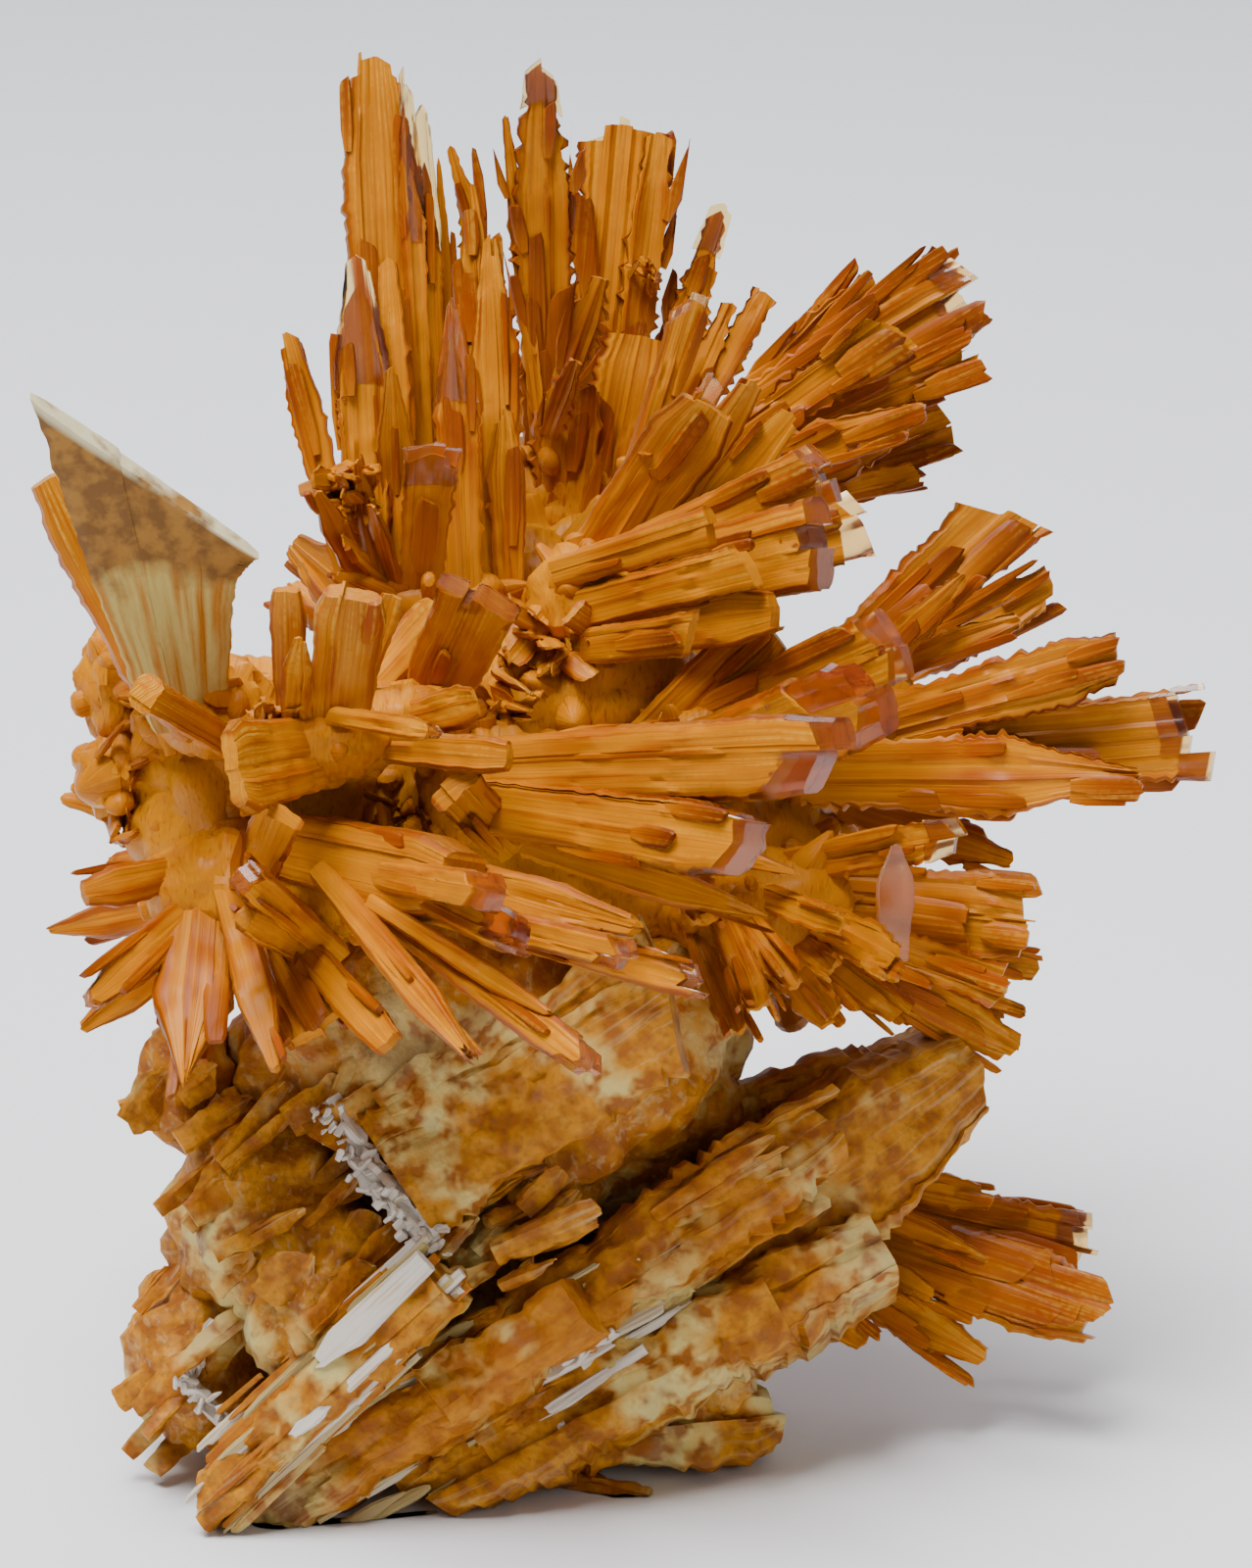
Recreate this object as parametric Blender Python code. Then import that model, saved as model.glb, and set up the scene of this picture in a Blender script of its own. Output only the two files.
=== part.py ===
"""An ochre-coated selenite specimen: blades and prisms of gypsum that radiate from a knobbly
mass, which grew on a thick cleaved slab and stands on a small flat spot.

Run with: blender --background --python part.py
The row frame is in metres, +Z up, the viewer's side at -Y, the origin under the middle of the
specimen's box. The crystals were measured in the plane of a photograph, in millimetres:
across from its left edge, down from its top edge, and near, towards the viewer.
"""

import math
from collections import namedtuple

import bmesh
import bpy
from mathutils import Matrix, Vector

MM = 0.001

# Driving dimensions, in millimetres
PLANE_MIDDLE = (64.0, 80.0)  # across and down to the middle of the measured plane
EYE_DISTANCE = 600.0  # from that middle to the viewer
EYE_TILT = math.radians(15)  # how far the viewer looks down
MIDDLE_HEIGHT = 67.0  # of the plane's middle above the surface the specimen stands on
GAP = 0.4  # between pieces that touch
SHIFT = Vector((-0.9, -0.2, 0.0))  # from the measured middle to the middle of the box
SIX_SIDED_FROM = 6.7  # the least width of a six-sided crystal; narrower ones have four sides
FINE_LUMP_FROM = 17.5  # the least radius of a lump with finer facets
ROOT_WIDTH = 0.75  # a crystal's width at its root, as a share of its full width
FLAT_THICKNESS = 0.55  # the share of its thickness that a crystal keeps at no width
FAN_LUMP = (7, 7, 7)  # the radii of the knob that a fan grows from
FAN_THICK = 3.4

TO_VIEWER = Vector((0, -math.cos(EYE_TILT), math.sin(EYE_TILT)))
UP_PLANE = Vector((0, math.sin(EYE_TILT), math.cos(EYE_TILT)))
RIGHT = Vector((1, 0, 0))

# A crystal runs from root to tip. Its width lies in the measured plane when turn is 0.
# end is the tip's width as a share of the full width, and slant is how much further,
# in millimetres, the end runs on its right side, seen root down.
Blade = namedtuple("Blade", "root tip width thick turn end slant", defaults=(0, 0.6, 0))
Lump = namedtuple("Lump", "centre radii")

MATRIX = [
    # the knobbly heart of the specimen
    Lump((47, 87, -8), (31, 20, 23)),
    Lump((27, 82, 4), (15, 16, 16)),
    Lump((73, 90, -8), (17, 14, 17)),
    Lump((50, 108, 0), (28, 20, 23)),
    Lump((58, 66, -26), (19, 15, 14)),
    Lump((58, 72, 0), (17, 11, 11)),
    # knobs on its left side
    Lump((12, 70, 2), (5, 7, 6)),
    Lump((12, 79, 6), (5, 5, 6)),
    Lump((18, 73, 10), (5, 6, 6)),
    Lump((19, 110, 4), (6, 8, 8)),
    # the left shoulder of the slab
    Lump((28, 124, 2), (12, 16, 19)),
    Lump((21, 138, 2), (9.5, 11, 12)),
    Lump((33, 132, 14), (10, 12, 10)),
    # the cleaved slab: thick sheets that run up to the right
    Blade((47, 146, 6), (99, 108, -6), 20, 24, 8, 0.62, -2),
    Blade((62, 116.5, 0), (99.3, 108, -6), 10.5, 10, 8, 0.75, 0),
    Blade((44, 143, 18), (88, 113, 8), 13, 12, -12, 0.7, 0),
    Blade((41, 120, 20), (69, 100.5, 22), 21, 9, -12, 0.86, -3),
    Blade((46, 131, 25), (18.2, 156, 17), 8.4, 9, 14, 0.8, -1.5),
    Blade((60, 133, 20), (25, 157, 12), 12, 12, 14, 0.85, 2),
    Blade((80, 134, 8), (42, 154, 8), 13, 18, 16, 0.8, 2),
    Blade((90, 128, 2), (56, 146, 6), 13, 22, 16, 0.7, 0),
    Blade((58, 146, 2), (79, 144, -4), 12, 20, 0, 0.7, 0),
    Blade((54, 151, 2), (67, 153.4, 8.5), 6, 7, 0, 0.7, 0),
    Lump((47, 138, -10), (28, 18, 16)),
    Lump((73, 140, 3), (6, 5, 6)),
]

SPRAYS = {
    "tall_blades": [
        Lump((43.5, 62, -2), (10, 6.5, 9)),
        Blade((41, 62, -4), (38.3, 4.2, -6), 8.8, 3.2, 12, 0.62, -0.6),
        Blade((45, 60, -4), (43, 9, -7), 3.6, 2.6, 30, 0.5, 0),
        Blade((38, 62, 3), (36.4, 25.5, 2), 6.4, 3.2, 10, 0.45, 0),
        Blade((42, 62, 3), (39.6, 25.5, 0), 4.0, 2.2, -20, 0.5, 0),
        Blade((47.5, 62, 3), (46.2, 29.6, 3), 5.6, 2.2, 12, 0.2, 0),
        Blade((50, 61, -4), (48, 18.2, -7), 7.6, 2.6, -15, 0.2, 2.5),
        Blade((51.5, 61, -3), (50, 23.6, -4.5), 6, 2, -10, 0.3, 2),
        Blade((52, 63, -3), (51.5, 41.5, -2), 4.8, 3.2, 20, 0.4, 0),
        Blade((43, 60, 5), (44.3, 45, 13), 6.8, 2.2, 8, 0.92, 0.4),
        Blade((36, 60, 2), (29.3, 33.5, 2), 4.2, 2, -10, 0.5, -0.6),
        Blade((38, 61, 3), (32.4, 50, 15), 3.4, 1.8, 10, 0.35, 0),
    ],
    "crest_blades": [
        Lump((57, 52, -31), (12, 9, 8)),
        Blade((56, 54, -30), (55.3, 5.6, -17), 8.4, 2.8, 5, 0.42, 0),
        Blade((56, 44, -25), (61.6, 27.8, -16), 5, 2, 0, 0.45, 0),
        Blade((55.5, 46, -26), (59, 36.4, -15), 4.2, 1.8, 0, 0.4, 0),
        Blade((54, 44, -28), (45.8, 14.4, -25), 5, 1.8, 0, 0.2, 0),
        Blade((60, 54, -32), (63.9, 12.2, -32), 11.4, 3.2, 0, 0.92, 0),
        Blade((63, 50, -32), (67.4, 13, -31), 6, 3, 8, 0.6, 0),
        Blade((65, 46, -36), (74, 20.3, -39), 4, 2, 0, 0.7, 0),
        Blade((65, 48, -34), (72.5, 26, -35), 6.4, 2.4, 0, 0.5, 0),
        Blade((67, 50, -34), (78.6, 29.2, -35), 5, 2, 0, 0.7, 0),
        Blade((61, 58, -28), (66, 33, -27), 11, 4, 0, 0.8, 0),
        Blade((57, 58, -27), (58.5, 39, -24), 9.4, 4, 0, 0.7, 0),
    ],
    "upper_right_fan": [
        Lump((72, 52, -22), (10, 8, 9)),
        Blade((69, 48, -20), (100.8, 28.4, -16), 10.8, 4.4, 0, 0.76, 0.8),
        Blade((74, 45, -22), (98.5, 24.9, -19), 5.4, 3, 0, 0.85, 0),
        Blade((70, 49, -14), (92, 33.2, -9), 7.2, 2.8, 0, 0.92, 1.6),
        Blade((76, 46, -15), (100.4, 35.6, -13), 7.4, 3, 0, 0.9, -2),
        Blade((72, 50, -12), (94.8, 40.9, -4), 5.8, 2.4, 0, 0.12, 0),
        Blade((73, 52.5, -17), (93.2, 44, -9), 5.2, 2.4, 0, 0.3, 0),
        Blade((76, 52, -22), (97.4, 43, -22), 6.6, 2.6, 0, 0.8, 0),
        Blade((72, 46, -27), (90, 28, -27), 6.4, 3, 0, 0.6, 0),
    ],
    "inner_right_prisms": [
        Lump((61.5, 62, 3), (9, 8, 9)),
        Blade((61.5, 60, -2), (71, 29, -2), 4.2, 3.2, 20, 0.85, 1),
        Blade((59, 60, -2), (73, 40.5, 7), 8.6, 3.4, 10, 0.7, 0),
        Blade((64, 60, 0), (77, 38.6, 2), 4.2, 2.2, 20, 0.6, 0),
        Blade((65, 60.5, -1), (81, 42, 2), 5.2, 2.2, 0, 0.55, 0),
        Blade((58, 60, 2), (86.3, 47.2, 14), 7.4, 4.2, 0, 0.95, 0.6),
        Blade((60, 61, 4), (84.8, 55.2, 19), 9.8, 5.4, -6, 0.97, -0.5),
        Blade((57, 58.5, 9), (73.2, 53.6, 19), 4.8, 3.4, 0, 0.95, 0),
        Blade((58, 62.5, 8), (77, 57.7, 22), 6, 3.4, 0, 0.85, 1),
        Blade((59, 65, 7), (80, 62.3, 21), 6.6, 3.8, 0, 0.6, 0),
        Blade((60, 66, 10), (71, 64.6, 27), 5.2, 2.4, 0, 0.9, -1.4),
        Blade((64, 61, -1), (89.6, 52.8, 0), 8, 4.4, 0, 0.95, 1),
    ],
    "right_blades": [
        Lump((86, 74, -2), (10, 9, 9)),
        Blade((84, 70, -8), (103.4, 52, -11), 9.8, 3.4, 0, 0.96, 2.4),
        Blade((84, 74, -2), (99.4, 57.6, 4), 5, 2.4, 0, 0.25, 0),
        Blade((85, 72, -6), (108, 59.4, -8), 6.6, 3, 0, 0.7, -1),
        Blade((84, 71, -4), (104.6, 63, 2), 4.6, 2.8, 0, 0.4, 0),
        Blade((84, 75.5, 2), (115.4, 66.8, 10), 7.8, 3.6, 0, 0.7, -1.6),
        Blade((82, 78, -1), (124.7, 74.6, 6), 12, 5, 0, 0.86, 0),
        Blade((82, 79, 5), (117.3, 79, 13), 9.6, 3.2, 0, 0.14, 1.5),
        Blade((86, 82, -4), (104, 88, -2), 6, 3, 0, 0.3, 0),
    ],
    "middle_prisms": [
        Lump((70, 77, 10), (7, 6, 6)),
        Blade((68, 76, 8), (92.4, 65.2, 22), 8.8, 4.2, 0, 0.9, 0),
        Blade((67, 79, 12), (90.6, 70.8, 34), 9.6, 5.4, 10, 0.82, 0),
        Blade((66, 76, 10), (79, 64, 14), 7.4, 3, 0, 0.7, 0),
    ],
    "front_prisms": [
        Lump((50, 80, 18), (8, 7, 8)),
        Blade((47, 78.5, 20), (86.8, 77, 47), 8.8, 6, 0, 0.84, -1),
        Blade((48, 82, 22), (77.6, 86.5, 45), 7.8, 6, 0, 0.8, -1.4),
        Blade((54, 86, 18), (79.4, 93.8, 31), 4.4, 2.8, 0, 0.15, 0),
        Blade((52, 86, 18), (46.5, 80, 34), 6.4, 4, 0, 0.9, 0),
    ],
    "left_front_prisms": [
        Lump((34, 90, 21), (8, 7, 10)),
        Blade((28, 86, 22), (48, 90.5, 43), 9, 8, 0, 0.72, 0),
        Blade((34, 86, 30), (65.8, 94.8, 47), 4.8, 4, 0, 0.45, 0),
        Blade((40, 89.4, 35), (54.6, 96.2, 55), 4.8, 4, 0, 0.75, 0),
        Blade((38, 89, 34), (51, 91.2, 57), 4.4, 4, 0, 0.9, 0),
        Blade((38.4, 91.2, 33), (66.4, 98, 51), 4, 3.4, 6, 0.85, 0),
        Blade((42, 92, 34), (73.2, 100.7, 48), 4.2, 3.2, 0, 0.8, 0),
        Blade((36.4, 91, 32), (61.8, 110, 60), 3.8, 3.2, 0, 0.8, 0),
        Blade((33, 89, 32), (48.8, 108.7, 57), 3.6, 3, 0, 0.35, 0),
    ],
    "left_rosette": [
        Lump((23, 91, 22), (9, 7, 8)),
        Blade((23, 88, 22), (8.3, 91.2, 31), 4.6, 3.2, 0, 0.6, 0),
        Blade((23, 90, 22), (8.5, 103, 38), 5, 3.6, 0, 0.4, 0),
        Blade((21, 92, 17), (4.6, 95, 10), 4.4, 3, 0, 0.2, 0),
        Blade((21, 90, 24), (18.9, 111.4, 40), 8.6, 3.6, 0, 0.1, 0),
        Blade((23, 89, 26), (28.3, 109.7, 45), 4.4, 3.2, 0, 0.28, 0),
        Blade((25, 90, 22), (33.2, 105.6, 36), 9.2, 3, 0, 0.85, 0),
        Blade((22.5, 94, 17), (8, 105.2, 20), 4.6, 3.4, 0, 0.3, 0),
        Blade((27, 92, 20), (40.4, 107.2, 46), 4.2, 3, 0, 0.75, 0),
        Blade((25, 92, 26), (28.8, 82.2, 46), 5.8, 3.2, 0, 0.95, 0),
        Blade((34, 97, 24), (24.6, 89, 50), 4.2, 4, 0, 0.8, 0),
        Blade((33, 98, 22), (24.8, 93.6, 45), 3.6, 3.4, 0, 0.8, 0),
    ],
    "left_blades": [
        Lump((22, 72, 22), (7.4, 6, 7)),
        Blade((19.5, 74, 25), (14.9, 48, 42), 10.7, 2.4, 0, 1.8, -5.7),
        Blade((19, 76, 16), (4.9, 47.8, 22), 6.6, 4.6, 0, 0.7, 0),
        Blade((24, 76, 22), (14.6, 70.5, 42), 4.6, 4, 0, 0.85, 0),
    ],
    "finger_cluster": [
        Lump((32, 76, 27), (8.6, 5, 11)),
        Lump((41, 74, 22), (8, 5, 8)),
        Blade((30, 76, 30), (29.3, 59.6, 40), 4, 3.4, 0, 0.75, 0),
        Blade((34.5, 76, 32), (36.2, 59.8, 42), 7.6, 4.6, 0, 0.8, 0),
        Blade((34, 73, 36), (46.2, 74.9, 52), 2.6, 2.2, 0, 0.5, 0),
        Blade((36, 76, 26), (52.3, 77.2, 38), 4.4, 3.2, 0, 0.75, 0),
        Blade((32, 77, 34), (23.6, 78.4, 50), 10, 3.6, 0, 0.8, 0),
        Blade((44, 72, 16), (49.2, 60.2, 28), 9.4, 4.4, 0, 0.95, 0),
        Blade((38, 70, 20), (45, 62, 12), 5.2, 3.6, 0, 0.8, 0),
    ],
    "under_right_blades": [
        Lump((78, 93, 8), (10, 7, 8)),
        Blade((80, 91, 2), (106, 94, 9), 9.8, 3.2, 0, 0.8, 0),
        Blade((80, 93, 6), (103.6, 101, 13), 5.8, 2.8, 0, 0.9, -0.8),
        Blade((81, 94, 4), (107.2, 99, 0), 4.2, 3, 0, 0.7, 0),
        Blade((81, 91, 5), (105.6, 90.5, 3), 3.8, 2.6, 0, 0.4, 0),
        Blade((76, 89, 6), (99.4, 85, 19), 5, 2.4, 0, 0.75, 0),
        Blade((81, 92.5, 10), (92.2, 98, 25), 5.6, 2, 0, 0.5, 0),
        Blade((74, 90, 8), (86.6, 94.4, 24), 3.6, 3.2, 0, 0.7, 0),
        Blade((74, 91, 8), (81.5, 101.2, 24), 4.2, 3.6, 0, 0.5, 0),
        Blade((73, 92, 10), (77.8, 103.6, 26), 4.2, 3.6, 0, 0.6, 0),
        Blade((71, 90, 8), (72, 94, 28), 4.6, 3.8, 0, 0.6, 0),
        Blade((80, 94, 6), (85.6, 99.4, 20), 4.2, 3.6, 0, 0.6, 0),
        Blade((77, 94, 5), (85.5, 104.6, 11), 5.4, 4, 0, 0.6, 0),
        Blade((80, 94, 3), (93, 104, 5), 5.6, 4, 0, 0.6, 0),
        Blade((80, 95, 4), (104.2, 107.4, -2), 6.4, 4, 0, 0.6, 0),
    ],
    "lower_right_spray": [
        Lump((84, 124, -10), (7, 7, 7)),
        Blade((84, 119, -9), (102, 122.4, -5), 4.4, 3.6, 0, 0.6, 0),
        Blade((84, 121, -14), (112.6, 127.6, -12), 8.8, 4.2, 0, 0.86, 0),
        Blade((82, 124, -10), (113.5, 134.4, -3), 10, 5.4, 0, 0.72, 0),
        Blade((82, 128, -10), (101, 139, -4), 6.2, 4, 0, 0.4, 0),
        Blade((84, 120, -16), (96.6, 116.8, -18), 4.4, 3, 0, 0.5, 0),
        Blade((78, 128, -8), (89.6, 138, -3), 5.2, 3.6, 0, 0.5, 0),
    ],
}

# The side away from the viewer: sprays set round the heart at a centre, each with a pole
# direction (across, down, near), a count of blades, their length, how many degrees they
# spread from the pole and the first one's turn round it, in radians.
Fan = namedtuple("Fan", "centre pole count length spread first")
BACK_FANS = {
    "back_left_spray": Fan((27, 86, -15), (-0.46, -0.1, -0.88), 6, 28, 50, 0.2),
    "back_crown_spray": Fan((46, 69, -30), (-0.3, -0.6, -0.74), 7, 34, 46, 1.1),
    "back_right_spray": Fan((70, 84, -20), (0.66, -0.12, -0.74), 6, 33, 52, 2.0),
    "back_middle_spray": Fan((48, 92, -26), (-0.08, 0.02, -1.0), 6, 30, 56, 0.6),
    "back_low_spray": Fan((54, 115, -16), (0.25, 0.3, -0.92), 6, 28, 52, 1.6),
}
SIX_SIDED = ((-1, 0), (-0.62, -1), (0.62, -1), (1, 0), (0.62, 1), (-0.62, 1))
FOUR_SIDED = ((-1, 0.2), (0.2, -1), (1, -0.2), (-0.2, 1))
GOLDEN_TURN = math.pi * (3 - math.sqrt(5))


def at(across, down, near):
    """The point of the row frame, in metres, that is seen at that place of the measured plane."""
    nearer = (EYE_DISTANCE - near) / EYE_DISTANCE
    point = RIGHT * ((across - PLANE_MIDDLE[0]) * nearer)
    point += UP_PLANE * ((PLANE_MIDDLE[1] - down) * nearer)
    point += TO_VIEWER * near
    point.z += MIDDLE_HEIGHT
    return (point + SHIFT) * MM


def towards(across, down, near):
    """A direction of the measured plane in the row frame, as a unit vector."""
    return (RIGHT * across - UP_PLANE * down + TO_VIEWER * near).normalized()


def fan_blades(fan):
    """Blades on a golden-angle spiral round the pole, the outer ones shorter, on a knob."""
    pole = towards(*fan.pole)
    side = pole.orthogonal().normalized()
    other = pole.cross(side)
    centre = at(*fan.centre)
    blades = []
    for i in range(fan.count):
        share = math.sqrt((i + 0.5) / fan.count)
        lean = math.radians(fan.spread) * share
        turn = fan.first + GOLDEN_TURN * i
        way = pole * math.cos(lean)
        way += (side * math.cos(turn) + other * math.sin(turn)) * math.sin(lean)
        length = fan.length * (1 - 0.2 * share) * (0.88 + 0.16 * math.sin(2.4 * i + 1)) * MM
        width = 8.2 + 2.4 * math.sin(1.7 * i)
        end = 0.5 + 0.4 * math.sin(2.9 * i + 0.5)
        start = centre + way * 3 * MM
        blades.append((start, start + way * length, width, FAN_THICK, math.degrees(turn) * 2, end))
    return [Lump(fan.centre, FAN_LUMP)] + blades


def new_mesh(rings):
    """A closed mesh from rings of points, with a flat cap on both ends."""
    mesh = bmesh.new()
    made = [[mesh.verts.new(point) for point in ring] for ring in rings]
    count = len(made[0])
    for low, high in zip(made, made[1:]):
        for i in range(count):
            j = (i + 1) % count
            mesh.faces.new((low[i], low[j], high[j], high[i]))
    mesh.faces.new(reversed(made[0]))
    mesh.faces.new(made[-1])
    bmesh.ops.recalc_face_normals(mesh, faces=mesh.faces)
    return mesh


def crystal(start, stop, width, thick, turn, end, slant, grow=0.0):
    """A flattened prism that widens from its root and ends in a slanted facet. A pointed one
    is widest at a shoulder nearer its tip. grow, in millimetres, swells it all round."""
    axis = (stop - start).normalized()
    across = axis.cross(TO_VIEWER)
    if across.length < 0.05:
        across = axis.cross(UP_PLANE)
    across.normalize()
    across = Matrix.Rotation(math.radians(turn), 3, axis) @ across
    face = across.cross(axis).normalized()
    start = start - axis * grow * MM
    stop = stop + axis * grow * MM
    stations = [(0, ROOT_WIDTH), (1, end)]
    if end < 0.85:
        stations.insert(1, (min(0.88, 0.55 + 0.4 * end), 1))
    rings = []
    for share, wide in stations:
        middle = start.lerp(stop, share)
        half = (width * wide / 2 + grow) * MM
        deep = (thick * (FLAT_THICKNESS + (1 - FLAT_THICKNESS) * wide) / 2 + grow) * MM
        lean = slant * MM * max(0.0, (share - 0.5) * 2) * wide
        ring = []
        for x, y in SIX_SIDED if width > SIX_SIDED_FROM else FOUR_SIDED:
            ring.append(middle + across * x * half + face * y * deep + axis * x * lean)
        rings.append(ring)
    return new_mesh(rings)


def lump(centre, radii, grow=0.0):
    """A knob: a coarse ball drawn out to its three radii, with a slight waviness."""
    mesh = bmesh.new()
    fine = 2 if max(radii) > FINE_LUMP_FROM else 1
    bmesh.ops.create_icosphere(mesh, subdivisions=fine, radius=1)
    middle = at(*centre)
    for vert in mesh.verts:
        x, y, z = vert.co
        wave = 1 + 0.05 * math.sin(5 * x + centre[0]) * math.cos(4 * z + centre[1])
        point = RIGHT * x * (radii[0] * wave + grow)
        point += UP_PLANE * z * (radii[1] * wave + grow)
        point += TO_VIEWER * -y * (radii[2] * wave + grow)
        vert.co = middle + point * MM
    return mesh


def shell(shape, grow=0.0):
    """The closed mesh of one row of the tables above."""
    if isinstance(shape, Lump):
        return lump(shape.centre, shape.radii, grow)
    if isinstance(shape, Blade):
        ends = (at(*shape.root), at(*shape.tip))
        return crystal(*ends, shape.width, shape.thick, shape.turn, shape.end, shape.slant, grow)
    start, stop, width, thick, turn, end = shape
    return crystal(start, stop, width, thick, turn, end, 0, grow)


def as_object(mesh, name):
    """A bmesh as a linked object."""
    data = bpy.data.meshes.new(name)
    mesh.to_mesh(data)
    mesh.free()
    made = bpy.data.objects.new(name, data)
    bpy.context.scene.collection.objects.link(made)
    return made


def is_closed(data):
    """Whether every edge of a mesh has two faces."""
    mesh = bmesh.new()
    mesh.from_mesh(data)
    closed = all(len(edge.link_faces) == 2 for edge in mesh.edges)
    mesh.free()
    return closed


def combine(target, others, operation):
    """target joined with or cut by all the others at once, which are used up. The second
    solver is for the few results that the first leaves open."""
    group = bpy.data.collections.new("others")
    for other in others:
        bpy.context.scene.collection.objects.unlink(other)
        group.objects.link(other)
    bpy.context.scene.collection.children.link(group)
    modifier = target.modifiers.new(operation.title(), "BOOLEAN")
    modifier.operation = operation
    modifier.operand_type = "COLLECTION"
    modifier.collection = group
    for solver in ("EXACT", "MANIFOLD"):
        modifier.solver = solver
        graph = bpy.context.evaluated_depsgraph_get()
        result = bpy.data.meshes.new_from_object(target.evaluated_get(graph))
        if is_closed(result):
            break
    target.modifiers.clear()
    target.data = result
    for other in others:
        bpy.data.objects.remove(other)
    bpy.data.collections.remove(group)


def union(shapes, name):
    """One object: the Boolean union of the shapes."""
    made = [as_object(shell(shape), name) for shape in shapes]
    combine(made[0], made[1:], "UNION")
    return made[0]


def keep_largest(target):
    """Drops the chips that a cut leaves loose and the pockets it seals."""
    mesh = bmesh.new()
    mesh.from_mesh(target.data)
    left = set(mesh.verts)
    islands = []
    while left:
        island = [left.pop()]
        for vert in island:
            for edge in vert.link_edges:
                other = edge.other_vert(vert)
                if other in left:
                    left.discard(other)
                    island.append(other)
        islands.append(island)
    islands.sort(key=len)
    loose = [vert for island in islands[:-1] for vert in island]
    bmesh.ops.delete(mesh, geom=loose, context="VERTS")
    bmesh.ops.recalc_face_normals(mesh, faces=mesh.faces)
    mesh.to_mesh(target.data)
    mesh.free()


def floor_block():
    """What lies under the surface that the specimen stands on."""
    mesh = bmesh.new()
    bmesh.ops.create_cube(mesh, size=0.4)
    bmesh.ops.translate(mesh, verts=mesh.verts, vec=(0, 0, -0.2))
    return as_object(mesh, "floor_block")


def material(name, colour, roughness):
    """A plain dielectric finish."""
    made = bpy.data.materials.new(name)
    made.use_nodes = True
    shader = made.node_tree.nodes["Principled BSDF"]
    shader.inputs["Base Color"].default_value = (*colour, 1)
    shader.inputs["Roughness"].default_value = roughness
    shader.inputs["Metallic"].default_value = 0
    return made


def cut(target, shapes):
    """Cuts room for the grown shapes out of target, where they come near it."""
    low, high = box(target)
    cutters = []
    for shape in shapes:
        cutter = as_object(shell(shape, GAP), "cutter")
        least, most = box(cutter)
        if all(least[k] < high[k] and low[k] < most[k] for k in range(3)):
            cutters.append(cutter)
        else:
            bpy.data.objects.remove(cutter)
    if cutters:
        combine(target, cutters, "DIFFERENCE")


def box(target):
    """The lowest and the highest corner of an object's mesh."""
    places = [vert.co for vert in target.data.vertices]
    return [[pick(p[k] for p in places) for k in range(3)] for pick in (min, max)]


def build():
    """Each spray gives way to those before it, and the matrix to them all."""
    for old in list(bpy.data.objects):
        bpy.data.objects.remove(old, do_unlink=True)
    coated = material("ochre_coated_selenite", (0.66, 0.25, 0.02), 0.45)
    sprays = dict(SPRAYS)
    sprays.update({name: fan_blades(fan) for name, fan in BACK_FANS.items()})
    placed = []
    for name, shapes in sprays.items():
        spray = union(shapes, name)
        cut(spray, placed)
        keep_largest(spray)
        spray.data.materials.append(coated)
        placed += shapes
    matrix = union(MATRIX, "cleaved_matrix")
    cut(matrix, placed)
    combine(matrix, [floor_block()], "DIFFERENCE")
    keep_largest(matrix)
    matrix.data.materials.append(material("crusted_gypsum", (0.55, 0.27, 0.045), 0.8))


build()
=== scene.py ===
"""The look of an ochre-coated selenite specimen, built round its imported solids.

Every crystal is a surface over a grid: its place along the crystal by its place round the
section. Ridges, laths that end in steps, saw-toothed edges and lumps are added to that grid.
"""

import math
from collections import namedtuple

import bpy
import numpy as np
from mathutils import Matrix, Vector


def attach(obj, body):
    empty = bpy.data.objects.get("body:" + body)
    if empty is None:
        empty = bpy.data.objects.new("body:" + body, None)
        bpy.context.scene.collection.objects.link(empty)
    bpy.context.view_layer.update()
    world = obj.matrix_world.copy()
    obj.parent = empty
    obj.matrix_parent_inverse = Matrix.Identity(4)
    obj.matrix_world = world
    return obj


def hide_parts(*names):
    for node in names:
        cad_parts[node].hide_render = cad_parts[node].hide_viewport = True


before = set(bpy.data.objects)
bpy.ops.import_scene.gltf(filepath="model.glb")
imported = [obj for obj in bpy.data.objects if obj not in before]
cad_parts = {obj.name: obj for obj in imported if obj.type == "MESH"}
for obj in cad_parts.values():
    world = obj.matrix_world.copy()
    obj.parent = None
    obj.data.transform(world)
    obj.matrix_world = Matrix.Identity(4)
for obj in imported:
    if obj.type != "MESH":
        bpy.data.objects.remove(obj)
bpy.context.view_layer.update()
scene = bpy.context.scene

MM = 0.001

# The measured plane, in millimetres, as in the part's source
PLANE_MIDDLE = (64.0, 80.0)
EYE_DISTANCE = 600.0
EYE_TILT = math.radians(15)
MIDDLE_HEIGHT = 67.0
SHIFT = np.array([-0.9, -0.2, 0.0])
TO_VIEWER = np.array([0, -math.cos(EYE_TILT), math.sin(EYE_TILT)])
UP_PLANE = np.array([0, math.sin(EYE_TILT), math.cos(EYE_TILT)])
RIGHT = np.array([1.0, 0, 0])
# The lowest points are raised to this height above the floor, in metres
FLOOR_GAP = 0.0001
NUB_SIDES = 10
# Widths as shares of a crystal's widest: at its root, and the least end of a plain taper
ROOT_WIDTH = 0.75
BLUNT_END = 0.85
GOLDEN_TURN = math.pi * (3 - math.sqrt(5))

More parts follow.
